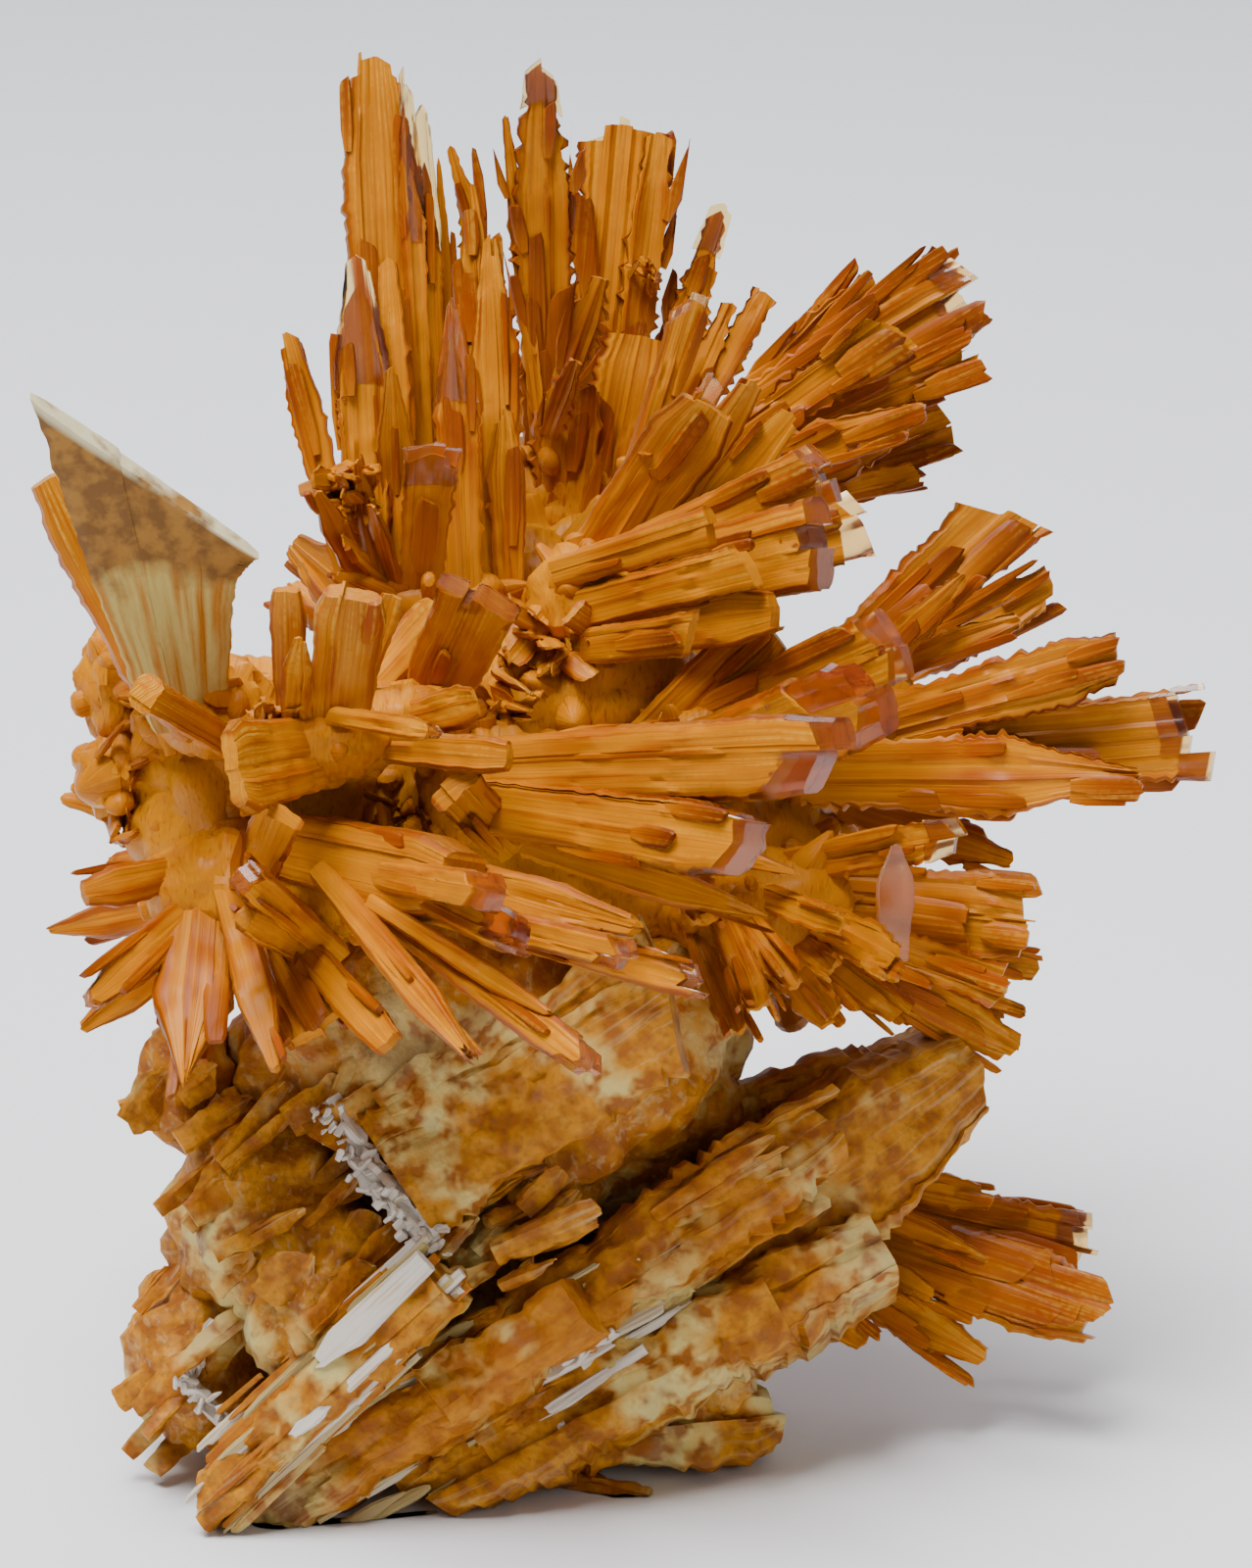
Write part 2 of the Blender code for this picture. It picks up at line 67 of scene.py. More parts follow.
# Habits of growth, lengths in mm.
# tooth: depth of the saw teeth along the edges      pitch: their spacing
# lath: width of the laths that end on the faces     step: their height
# ridge: height of the fine ridges                   rag: how broken the end is, share of length
# burn: how brown the coat is, 0 to 1                pale: how worn it is towards the tip
# lump: height of the knobs on it                    flakes: their count on 100 mm2 of face
# splay: how far the flakes turn outward, in degrees
Habit = namedtuple("Habit", "tooth pitch lath step ridge rag burn pale lump flakes splay")
TALL = Habit(0.55, 1.5, 1.9, 0.6, 0.16, 0.07, 0.6, 0.35, 0.05, 1.6, 2)
CREST = Habit(1.3, 2.0, 3.2, 0.4, 0.36, 0.05, 0.9, 0.2, 0.15, 1.5, 26)
FAN = Habit(0.9, 1.9, 2.4, 0.8, 0.2, 0.09, 0.85, 0.3, 0.15, 3.0, 12)
PRISM = Habit(0.3, 1.6, 2.8, 0.45, 0.09, 0.05, 0.9, 0.4, 0.12, 0.9, 2)
RIGHTS = Habit(0.8, 2.0, 2.8, 0.7, 0.18, 0.07, 0.8, 0.3, 0.08, 1.6, 6)
FRONT = Habit(0.35, 1.7, 2.2, 0.45, 0.09, 0.08, 0.95, 0.4, 0.16, 0.9, 3)
THORN = Habit(0.2, 1.8, 1.3, 0.35, 0.08, 0.07, 0.6, 0.35, 0.16, 0.9, 3)
PETAL = Habit(0.3, 1.8, 2.2, 0.35, 0.09, 0.06, 0.75, 0.15, 0.3, 1.2, 8)
SANDY = Habit(0.45, 1.4, 4.0, 0.2, 0.1, 0.03, 0.0, 0.9, 0.12, 0, 4)
FINGER = Habit(0.2, 3.0, 2.4, 0.35, 0.12, 0.05, 0.5, 0.7, 0.5, 0.6, 6)
LOWER = Habit(0.6, 2.0, 2.2, 0.7, 0.16, 0.08, 0.2, 0.5, 0.2, 2.2, 8)
BACK = Habit(0.7, 2.2, 2.6, 0.7, 0.18, 0.06, 0.7, 0.3, 0.15, 1.5, 12)
SHEET = Habit(1.1, 4.0, 5.0, 1.0, 0.08, 0.09, 1.0, 0.4, 1.9, 0, 0)
LEDGE = Habit(0.4, 3.0, 2.0, 0.4, 0.1, 0.12, 1.0, 0.6, 0.55, 0, 0)
FIBRE = Habit(0.1, 3.0, 0.8, 0.3, 0.08, 0.12, 0.6, 0.8, 0.0, 0, 0)
WHITE = FIBRE._replace(burn=0.1)
GRANULAR = Habit(0.6, 1.3, 1.2, 0.8, 0.2, 0.1, 0.1, 0.8, 1.1, 0, 0)

# clear is the share of the length, at the tip, that is bare see-through selenite
Blade = namedtuple("Blade", "root tip width thick turn end slant clear", defaults=(0, 0))
Lump = namedtuple("Lump", "centre radii")

SPRAYS = {
    "tall_blades": (TALL, [
        Lump((43.5, 62, -2), (10, 6.5, 9)),
        Blade((41, 62, -4), (38.3, 4.4, -6), 8.8, 3.2, 12, 0.62, -0.6),
        Blade((45, 60, -4), (43, 9, -7), 3.6, 2.6, 30, 0.5, 0, 0.18),
        Blade((43.6, 50, -3), (41.4, 6.4, -5.4), 3.0, 2.2, 12, 0.5, 0, 0.25),
        Blade((38, 62, 3), (36.4, 25.7, 2), 6.4, 3.2, 10, 0.45, 0, 0.22),
        Blade((42, 62, 3), (39.6, 25.7, 0), 4.0, 2.2, -20, 0.5),
        Blade((47.5, 62, 3), (46.2, 29.8, 3), 5.6, 2.2, 12, 0.2, 0, 0.2),
        Blade((50, 61, -4), (48, 18.6, -7), 7.6, 2.6, -15, 0.2, 2.5),
        Blade((51.5, 61, -3), (50, 23.8, -4.5), 6, 2, -10, 0.3, 2),
        Blade((47.5, 58, -9), (44.8, 15.4, -10), 2.4, 1.6, 0, 0.2),
        Blade((52, 63, -3), (51.5, 41.7, -2), 4.8, 3.2, 20, 0.4),
        Blade((43, 60, 5), (44.3, 45.2, 13), 6.8, 2.2, 8, 0.92, 0.4, 0.15),
        Blade((41, 60, 0), (40, 37, 5), 4.6, 2, 24, 0.3),
        Blade((36, 60, 2), (29.3, 33.7, 2), 4.2, 2, -10, 0.5, -0.6),
        Blade((38, 61, 3), (32.4, 50, 15), 3.4, 1.8, 10, 0.35),
        Blade((39, 61, 4), (36.5, 46, 11), 2.8, 1.4, 40, 0.4),
        Blade((40, 60, 3), (35, 55, 12), 3.2, 1.2, 60, 0.5),
        Blade((41, 61, 4), (38, 51.5, 12), 3.0, 1.2, -50, 0.5),
        Blade((42, 62, 4), (34, 58.5, 11), 3.4, 1.4, 20, 0.4),
    ]),
    "crest_blades": (CREST, [
        Lump((57, 52, -31), (12, 9, 8)),
        Blade((56, 54, -30), (55.3, 5.9, -17), 8.4, 2.8, 5, 0.42, 0, 0.03),
        Blade((55, 42, -25), (51.6, 11.5, -19.5), 3.2, 2, 0, 0.25),
        Blade((56, 44, -25), (61.6, 28, -16), 5, 2, 0, 0.45),
        Blade((55.5, 46, -26), (59, 36.6, -15), 4.2, 1.8, 0, 0.4),
        Blade((54, 44, -28), (46, 14.8, -25), 5, 1.8, 0, 0.2),
        Blade((60, 54, -32), (63.9, 12.6, -32), 11.4, 3.2, 0, 0.92),
        Blade((63, 50, -32), (67.4, 13.4, -31), 6, 3, 8, 0.6),
        Blade((61, 46, -36), (62, 11.2, -35.6), 6.2, 2.6, 0, 0.9, 0, 0.08),
        Blade((65, 46, -36), (74, 20.7, -38.6), 4, 2, 0, 0.7, 0, 0.1),
        Blade((65, 48, -34), (72.5, 26.2, -35), 6.4, 2.4, 0, 0.5),
        Blade((66, 50, -34), (75, 30, -34.5), 4.2, 2.2, 0, 0.5),
        Blade((67, 50, -34), (78.4, 29.6, -35), 5, 2, 0, 0.7),
        Blade((61, 58, -28), (66, 33.2, -27), 11, 4, 0, 0.8),
        Blade((57, 58, -27), (58.5, 39.2, -24), 9.4, 4, 0, 0.7),
    ]),
    "upper_right_fan": (FAN, [
        Lump((72, 52, -22), (10, 8, 9)),
        Blade((69, 48, -20), (100.8, 28.6, -16), 10.8, 4.4, 0, 0.76, 0.8, 0.04),
        Blade((74, 45, -22), (98.3, 25.2, -19), 5.4, 3, 0, 0.85),
        Blade((70, 49, -14), (91.8, 33.4, -9), 7.2, 2.8, 0, 0.92, 1.6),
        Blade((76, 46, -15), (100.2, 35.7, -13), 7.4, 3, 0, 0.9, -2),
        Blade((72, 50, -12), (94.6, 41, -4), 5.8, 2.4, 0, 0.12),
        Blade((73, 52.5, -17), (93, 44.1, -9.2), 5.2, 2.4, 0, 0.3),
        Blade((76, 52, -22), (97.2, 43.1, -22), 6.6, 2.6, 0, 0.8),
        Blade((75, 53, -20), (94.6, 48, -20), 4.2, 2.2, 0, 0.7),
        Blade((72, 46, -27), (89.8, 28.4, -27), 6.4, 3, 0, 0.6),
    ]),
    "inner_right_prisms": (PRISM, [
        Lump((61.5, 62, 3), (9, 8, 9)),
        Blade((61.5, 60, -2), (71, 29.3, -2), 4.2, 3.2, 20, 0.85, 1, 0.06),
        Blade((59, 60, -2), (73, 40.7, 7), 8.6, 3.4, 10, 0.7),
        Blade((63, 56, 1), (74.2, 37, 8), 3.0, 2.0, 20, 0.85, 0, 0.1),
        Blade((64, 60, 0), (77, 38.8, 2), 4.2, 2.2, 20, 0.6),
        Blade((65, 60.5, -1), (81, 42.2, 2), 5.2, 2.2, 0, 0.55),
        Blade((58, 60, 2), (86.2, 47.3, 14), 7.4, 4.2, 0, 0.95, 0.6, 0.07),
        Blade((60, 61, 4), (84.7, 55.2, 19), 9.8, 5.4, -6, 0.97, -0.5, 0.07),
        Blade((57, 58.5, 9), (73.1, 53.6, 19), 4.8, 3.4, 0, 0.95),
        Blade((58, 62.5, 8), (76.9, 57.7, 22), 6, 3.4, 0, 0.85, 1),
        Blade((59, 65, 7), (79.9, 62.3, 21), 6.6, 3.8, 0, 0.6),
        Blade((60, 66, 10), (70.9, 64.6, 27), 5.2, 2.4, 0, 0.9, -1.4),
        Blade((64, 61, -1), (89.5, 52.9, 0), 8, 4.4, 0, 0.95, 1, 0.12),
    ]),
    "right_blades": (RIGHTS, [
        Lump((86, 74, -2), (10, 9, 9)),
        Blade((84, 70, -8), (103.3, 52.2, -11), 9.8, 3.4, 0, 0.96, 2.4),
        Blade((84, 74, -2), (99.3, 57.8, 4), 5, 2.4, 0, 0.25),
        Blade((85, 72, -6), (107.8, 59.5, -8), 6.6, 3, 0, 0.7, -1),
        Blade((84, 71, -4), (104.4, 63.1, 2), 4.6, 2.8, 0, 0.4),
        Blade((84, 75.5, 2), (115.2, 66.9, 10), 7.8, 3.6, 0, 0.7, -1.6),
        Blade((82, 78, -1), (124.5, 74.6, 6), 12, 5, 0, 0.86, 0, 0.03),
        Blade((82, 79, 5), (117.1, 79, 13), 9.6, 3.2, 0, 0.14, 1.5),
        Blade((86, 82, -4), (103.8, 87.9, -2), 6, 3, 0, 0.3),
    ]),
    "middle_prisms": (PRISM, [
        Lump((70, 77, 10), (7, 6, 6)),
        Blade((68, 76, 8), (92.2, 65.3, 22), 8.8, 4.2, 0, 0.9, 0, 0.14),
        Blade((67, 79, 12), (90.4, 70.9, 34), 9.6, 5.4, 10, 0.82, 0, 0.24),
        Blade((66, 76, 10), (78.9, 64.1, 14), 7.4, 3, 0, 0.7),
    ]),
    "front_prisms": (FRONT, [
        Lump((50, 80, 18), (8, 7, 8)),
        Blade((47, 78.5, 20), (86.6, 77, 47), 8.8, 6, 0, 0.84, -1, 0.09),
        Blade((54, 77, 25), (72, 74.6, 38), 3.2, 2.4, 0, 0.4),
        Blade((48, 82, 22), (77.4, 86.5, 45), 7.8, 6, 0, 0.8, -1.4, 0.06),
        Blade((54, 86, 18), (79.2, 93.7, 31), 4.4, 2.8, 0, 0.15),
        Blade((52, 86, 18), (46.5, 80.2, 34), 6.4, 4, 0, 0.9),
        Blade((60, 83, 14), (82, 89.2, 20), 3.2, 2.2, 0, 0.2),
    ]),
    "left_front_prisms": (THORN, [
        Lump((34, 90, 21), (8, 7, 10)),
        Blade((28, 86, 22), (48, 90.5, 43), 9, 8, 0, 0.72),
        Blade((34, 86, 30), (65.6, 94.8, 47), 4.8, 4, 0, 0.45),
        Blade((40, 89.4, 35), (54.4, 96.1, 55), 4.8, 4, 0, 0.75, 0, 0.18),
        Blade((38, 89, 34), (50.9, 91.2, 57), 4.4, 4, 0, 0.9, 0, 0.3),
        Blade((38.4, 91.2, 33), (66.2, 98, 51), 4, 3.4, 6, 0.85, 0, 0.07),
        Blade((42, 92, 34), (73, 100.6, 48), 4.2, 3.2, 0, 0.8, 0, 0.06),
        Blade((36.4, 91, 32), (61.7, 109.8, 60), 3.8, 3.2, 0, 0.8, 0, 0.08),
        Blade((38, 92, 38), (57, 104, 55), 2.4, 2.2, 0, 0.35),
        Blade((33, 89, 32), (48.7, 108.5, 57), 3.6, 3, 0, 0.35, 0, 0.05),
    ]),
    "left_rosette": (PETAL, [
        Lump((23, 91, 22), (9, 7, 8)),
        Blade((23, 88, 22), (8.5, 91.2, 31), 4.6, 3.2, 0, 0.6),
        Blade((23, 90, 22), (8.7, 102.8, 38), 5, 3.6, 0, 0.4, 0, 0.05),
        Blade((21, 92, 17), (4.9, 95, 10), 4.4, 3, 0, 0.2),
        Blade((21, 90, 24), (18.9, 111.2, 40), 8.6, 3.6, 0, 0.1),
        Blade((23, 89, 26), (28.3, 109.5, 45), 4.4, 3.2, 0, 0.28),
        Blade((25, 90, 22), (33.1, 105.4, 36), 9.2, 3, 0, 0.85),
        Blade((22.5, 94, 17), (8.3, 105.1, 20), 4.6, 3.4, 0, 0.3),
        Blade((27, 92, 20), (40.3, 107.1, 46), 4.2, 3, 0, 0.75),
        Blade((25, 92, 26), (28.8, 82.4, 46), 5.8, 3.2, 0, 0.95),
        Blade((34, 97, 24), (24.7, 89.1, 50), 4.2, 4, 0, 0.8, 0, 0.05),
        Blade((33, 98, 22), (24.9, 93.6, 45), 3.6, 3.4, 0, 0.8),
    ]),
    "left_blades": (SANDY, [
        Lump((22, 72, 22), (7.4, 6, 7)),
        Blade((19, 76, 16), (4.9, 48, 22), 6.6, 4.6, 0, 0.7),
        Blade((24, 76, 22), (14.8, 70.6, 41.6), 4.6, 4, 0, 0.85),
    ]),
    "finger_cluster": (FINGER, [
        Lump((32, 76, 27), (8.6, 5, 11)),
        Lump((41, 74, 22), (8, 5, 8)),
        Blade((30, 76, 30), (29.3, 59.8, 40), 4, 3.4, 0, 0.75),
        Blade((34.5, 76, 32), (36.2, 60, 42), 7.6, 4.6, 0, 0.8),
        Blade((30, 76, 32), (30.8, 65, 44), 3.4, 2.2, 0, 0.4),
        Blade((34, 73, 36), (46, 74.9, 51.6), 2.6, 2.2, 0, 0.5, 0, 0.05),
        Blade((36, 76, 26), (52.2, 77.2, 38), 4.4, 3.2, 0, 0.75),
        Blade((32, 77, 34), (23.8, 78.4, 49.8), 9.8, 3.6, 0, 0.8),
        Blade((44, 72, 16), (49.2, 60.4, 28), 9.4, 4.4, 0, 0.95, 0, 0.05),
        Blade((40, 74, 24), (49, 71.6, 35.6), 5.0, 2.6, 0, 0.7),
        Blade((38, 70, 20), (45, 62.2, 12), 5.2, 3.6, 0, 0.8),
        Blade((36, 72, 24), (40.2, 60.6, 30), 3.4, 2.4, 0, 0.7),
    ]),
    "under_right_blades": (LOWER, [
        Lump((78, 93, 8), (10, 7, 8)),
        Blade((80, 91, 2), (105.8, 94, 9), 9.8, 3.2, 0, 0.8),
        Blade((80, 93, 6), (103.4, 101, 13), 5.8, 2.8, 0, 0.9, -0.8),
        Blade((81, 94, 4), (107, 99, 0), 4.2, 3, 0, 0.7),
        Blade((81, 91, 5), (105.4, 90.5, 3), 3.8, 2.6, 0, 0.4),
        Blade((76, 89, 6), (99.2, 85, 19), 5, 2.4, 0, 0.75, 0, 0.08),
        Blade((81, 92.5, 10), (92, 98, 25), 5.6, 2, 0, 0.5),
        Blade((74, 90, 8), (86.4, 94.4, 24), 3.6, 3.2, 0, 0.7),
        Blade((74, 91, 8), (81.5, 101, 24), 4.2, 3.6, 0, 0.5),
        Blade((73, 92, 10), (77.8, 103.4, 26), 4.2, 3.6, 0, 0.6),
        Blade((71, 90, 8), (72, 94, 28), 4.6, 3.8, 0, 0.6),
        Blade((70, 93, 8), (75.8, 106.2, 21), 3.8, 3.4, 0, 0.6),
        Blade((80, 94, 6), (85.5, 99.4, 20), 4.2, 3.6, 0, 0.6),
        Blade((77, 94, 5), (85.4, 104.4, 11), 5.4, 4, 0, 0.6),
        Blade((80, 94, 3), (92.8, 103.8, 5), 5.6, 4, 0, 0.6),
        Blade((80, 95, 4), (104, 107.3, -2), 6.4, 4, 0, 0.6),
        Blade((84, 96, -2), (105, 103.3, -1), 3.6, 2.6, 0, 0.25),
        Blade((91.3, 98, 15), (91.6, 85.6, 21), 4.6, 1.0, 0, 0.25, 0, 1.0),
    ]),
    "lower_right_spray": (LOWER, [
        Lump((84, 124, -10), (7, 7, 7)),
        Blade((84, 119, -9), (101.8, 122.4, -5), 4.4, 3.6, 0, 0.6),
        Blade((84, 121, -14), (112.4, 127.6, -12), 8.8, 4.2, 0, 0.86, 0, 0.06),
        Blade((82, 124, -10), (113.3, 134.4, -3), 10, 5.4, 0, 0.72),
        Blade((84, 121.5, -6), (101.6, 128.6, 0), 3.4, 2.6, 0, 0.15),
        Blade((82, 128, -10), (100.8, 138.8, -4), 6.2, 4, 0, 0.4),
        Blade((84, 126, -8), (96, 132.6, 0), 3.4, 3, 0, 0.5),
        Blade((84, 120, -16), (96.4, 116.8, -18), 4.4, 3, 0, 0.5),
        Blade((78, 128, -8), (89.4, 137.8, -3), 5.2, 3.6, 0, 0.5),
    ]),
}

# The one blade with a crust of sand, among the left ones
SANDY_BLADE = Blade((19.5, 74, 25), (14.9, 48.2, 41.9), 10.6, 2.4, 0, 1.8, -5.7)

MATRIX = [
    Lump((47, 87, -8), (31, 20, 23)),
    Lump((27, 82, 4), (15, 16, 16)),
    Lump((73, 90, -8), (17, 14, 17)),
    Lump((50, 108, 0), (28, 20, 23)),
    Lump((58, 66, -26), (19, 15, 14)),
    Lump((58, 72, 0), (17, 11, 11)),
    Lump((12, 70, 2), (5, 7, 6)),
    Lump((12, 79, 6), (5, 5, 6)),
    Lump((18, 73, 10), (5, 6, 6)),
    Lump((19, 110, 4), (6, 8, 8)),
    Lump((28, 124, 2), (12, 16, 19)),
    Lump((21, 138, 2), (9.5, 11, 12)),
    Lump((33, 132, 14), (10, 12, 10)),
    Lump((47, 138, -10), (28, 18, 16)),
    Lump((73, 140, 3), (6, 5, 6)),
]
SHEETS = [
    Blade((47, 146, 6), (98.6, 108.2, -6), 20, 24, 8, 0.62, -2),
    Blade((62, 116.5, 0), (99, 108, -6), 10.5, 10, 8, 0.75),
    Blade((44, 143, 18), (88, 113, 8), 13, 12, -12, 0.7),
    Blade((41, 120, 20), (68.6, 100.7, 22), 21, 9, -12, 0.86, -3),
    Blade((46, 131, 25), (18.4, 155.8, 17), 8.4, 9, 14, 0.8, -1.5),
    Blade((60, 133, 20), (25.2, 156.8, 12), 12, 12, 14, 0.85, 2),
    Blade((80, 134, 8), (42.2, 153.8, 8), 13, 18, 16, 0.8, 2),
    Blade((90, 128, 2), (56, 146, 6), 13, 22, 16, 0.7),
    Blade((58, 146, 2), (78.8, 144, -4), 12, 20, 0, 0.7),
    Blade((54, 151, 2), (66.8, 153.2, 8.4), 6, 7, 0, 0.7),
]

# Where the slab is broken white: from, to (across, down, near), width, shards, size of a shard
FRACTURES = [
    ((33.4, 112.4, 18.6), (38.8, 120.8, 19.6), 6.2, 40, 1.1),
    ((37.4, 119, 19.6), (44.4, 127.4, 23.4), 6.0, 40, 1.1),
    ((22.4, 135, 11.6), (18.8, 141.6, 13.2), 3.0, 18, 1.0),
    ((18.6, 140.6, 13.2), (24, 146.4, 13.2), 3.4, 18, 1.0),
    ((46, 153, 11.6), (53, 148, 12.6), 1.6, 10, 1.2),
    ((56, 140, 16.4), (63, 136, 17), 1.4, 8, 1.0),
]
WHITE_STRIPS = [
    ((43.6, 128.6, 28.6), (32.2, 139.6, 25.4), 3.4),
    ((40.5, 137, 26.6), (28, 148.4, 22.6), 1.6),
    ((36, 141.6, 24.4), (20.4, 154.6, 18.4), 1.8),
    ((66, 137.6, 15), (54, 145.4, 14.6), 1.5),
    ((58, 145.4, 14.2), (46.4, 152.4, 13), 1.7),
]

# Clusters of small crystals: middle, radii, count, shortest, longest, width, habit. They point
# towards the viewer, or away where the third radius is negative.
JUMBLES = [
    ((35.5, 50.5, 9), (4.6, 4.6, 4), 26, 4, 8, 2.0, THORN),
    ((58, 65, 9), (11, 6, 4), 26, 5, 9, 3.2, FINGER),
    ((50, 73, 14), (8, 5, 3), 14, 5, 8, 2.8, FINGER),
    ((14.6, 75, 9), (5, 8, 5), 30, 5, 9, 2.6, THORN),
    ((12.6, 83, 8), (4, 4, 4), 12, 4, 8, 2.6, PETAL),
    ((65.8, 27.4, -27), (2.4, 2.4, 2), 9, 3, 5, 1.6, CREST),
    ((69.6, 80.4, 34), (2.0, 1.4, 1), 4, 3, 4, 1.1, THORN),
    ((28, 73.4, 36), (4, 3, 3), 10, 3, 6, 2.0, FINGER),
    ((41, 84, 22), (6, 4, 4), 12, 4, 7, 2.6, FINGER),
    ((67, 47, 4), (2, 2, 2), 5, 2, 4, 1.8, FINGER),
    ((38, 78, -24), (12, 8, -5), 16, 6, 12, 3.4, BACK),
    ((58, 82, -29), (10, 8, -4), 14, 6, 12, 3.4, BACK),
    ((58, 66, -39), (9, 7, -3), 10, 6, 11, 3.2, BACK),
    ((26, 78, -9), (8, 9, -4), 10, 5, 10, 3.2, BACK),
]

Fan = namedtuple("Fan", "centre pole count length spread first")
BACK_FANS = {
    "back_left_spray": Fan((27, 86, -15), (-0.46, -0.1, -0.88), 6, 28, 50, 0.2),
    "back_crown_spray": Fan((46, 69, -30), (-0.3, -0.6, -0.74), 7, 34, 46, 1.1),
    "back_right_spray": Fan((70, 84, -20), (0.66, -0.12, -0.74), 6, 33, 52, 2.0),
    "back_middle_spray": Fan((48, 92, -26), (-0.08, 0.02, -1.0), 6, 30, 56, 0.6),
    "back_low_spray": Fan((54, 115, -16), (0.25, 0.3, -0.92), 6, 28, 52, 1.6),
}


def at(place):
    """Row-frame metres of (across, down, near): the plane's millimetres brought nearer the eye."""
    across, down, near = np.asarray(place, float).T
    nearer = (EYE_DISTANCE - near) / EYE_DISTANCE
    point = np.multiply.outer((across - PLANE_MIDDLE[0]) * nearer, RIGHT)
    point = point + np.multiply.outer((PLANE_MIDDLE[1] - down) * nearer, UP_PLANE)
    point = point + np.multiply.outer(near, TO_VIEWER) + (0, 0, MIDDLE_HEIGHT)
    return (point + SHIFT) * MM


def towards(way):
    """A unit vector of the row frame from (across, down, near)."""
    made = RIGHT * way[0] - UP_PLANE * way[1] + TO_VIEWER * way[2]
    return made / np.linalg.norm(made)


def turned(vector, axis, angle):
    """vector turned by an angle about a unit axis, by Rodrigues' formula."""
    side = np.cross(axis, vector)
    return (vector * math.cos(angle) + side * math.sin(angle)
            + axis * np.dot(axis, vector) * (1 - math.cos(angle)))


def hashed(cells, salt):
    """A number from 0 to 1 for each whole-number cell: the fraction of a large sine."""
    value = np.sin(cells @ np.array([127.1, 311.7, 74.7]) + salt * 57.3) * 43758.5453
    return value - np.floor(value)


def knobs(points, size, salt=0.0):
    """Height from 0 to 1 of round knobs packed at a spacing of size: one less the squared
    distance to the nearest of the jittered seeds, one seed to each cell of a 3-D grid."""
    cells = points / size
    base = np.floor(cells)
    nearest = np.full(len(points), 9.0)
    for step in np.ndindex(3, 3, 3):
        cell = base + (np.array(step) - 1)
        seed = cell + np.stack([hashed(cell, salt + k) for k in range(3)], axis=1)
        nearest = np.minimum(nearest, ((seed - cells) ** 2).sum(axis=1))
    return np.clip(1 - nearest / 0.8, 0, 1)


def waves(points, length, salt=0.0):
    """Smooth noise from -1 to 1: five sines of about that wavelength in mixed directions."""
    rng = np.random.default_rng(int(salt * 10) + 7)
    total = np.zeros(len(points))
    for k in range(5):
        way = rng.normal(size=3)
        way *= (0.7 + 0.25 * k) * 2 * math.pi / length / np.linalg.norm(way)
        total += np.sin(points @ way + rng.uniform(0, 6.3))
    return total / 3.2


class Surface:
    """Vertices, quads and point attributes that are gathered into one mesh."""

    def __init__(self):
        self.points, self.quads, self.facts, self.grain, self.count = [], [], [], [], 0

    def add(self, points, quads, facts, grain):
        """Adds quads with their points. facts are 4 shares from 0 to 1 (along the crystal,
        ridge, burnt or weathered, worn), and grain is mm across, mm along and a salt."""
        self.quads.append(quads + self.count)
        self.points.append(points)
        self.facts.append(np.clip(facts, 0, 1))
        self.grain.append(grain)
        self.count += len(points)

    def piece(self, name, finish, node=None, sharp=35, slot="ochre_coated_selenite"):
        """The gathered mesh as a piece that rides on the root body."""
        mesh = bpy.data.meshes.new(name)
        points = np.concatenate(self.points)
        points[:, 2] = np.maximum(points[:, 2], FLOOR_GAP)
        quads = np.concatenate(self.quads)
        mesh.vertices.add(len(points))
        mesh.vertices.foreach_set("co", points.ravel())
        mesh.loops.add(quads.size)
        mesh.loops.foreach_set("vertex_index", quads.ravel().astype(np.int32))
        mesh.polygons.add(len(quads))
        mesh.polygons.foreach_set("loop_start", np.arange(0, quads.size, 4, dtype=np.int32))
        mesh.update(calc_edges=True)
        mesh.validate()
        coat = mesh.attributes.new("coat", "FLOAT_COLOR", "POINT")
        coat.data.foreach_set("color", np.concatenate(self.facts).ravel())
        grain = mesh.attributes.new("grain", "FLOAT_VECTOR", "POINT")
        grain.data.foreach_set("vector", np.concatenate(self.grain).ravel())
        mesh.shade_smooth()
        mesh.set_sharp_from_angle(angle=math.radians(sharp))
        mesh.materials.append(finish)
        made = bpy.data.objects.new(name, mesh)
        scene.collection.objects.link(made)
        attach(made, "root")
        if node:
            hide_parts(node)
        return made


def tube_quads(rings, around):
    """Quads of a tube of rings, and the strips that close its two ends: the section runs
    over the top face and back under it, so a strip joins each top point to the one below."""
    ring, place = np.meshgrid(np.arange(rings - 1), np.arange(around), indexing="ij")
    beside = (place + 1) % around
    sides = np.stack([ring * around + place, ring * around + beside,
                      (ring + 1) * around + beside, (ring + 1) * around + place], axis=-1)
    top = np.arange(around // 2 - 1)
    under = around - 1 - top
    strip = np.stack([top, under, under - 1, top + 1], axis=-1)
    far = strip[:, ::-1] + (rings - 1) * around
    return np.concatenate([sides.reshape(-1, 4), strip, far])


def axes_of(start, stop, turn):
    """The crystal's axis, the direction of its width and that of its face."""
    axis = (stop - start) / np.linalg.norm(stop - start)
    across = np.cross(axis, TO_VIEWER)
    if np.linalg.norm(across) < 0.05:
        across = np.cross(axis, UP_PLANE)
    across = turned(across / np.linalg.norm(across), axis, math.radians(turn))
    return axis, across, np.cross(across, axis)


def saw(along, pitch, rng):
    """Teeth from 0 to 1 along an edge: each rises towards the tip and drops, unevenly spaced."""
    phase = along / pitch + 0.5 * np.sin(along / pitch * 1.7 + rng.uniform(0, 6))
    phase += 0.3 * np.sin(along / pitch * 3.1 + rng.uniform(0, 6))
    part = phase - np.floor(phase)
    size = 0.45 + 0.55 * np.sin(np.floor(phase) * 2.7 + rng.uniform(0, 6)) ** 2
    return part ** 1.4 * size


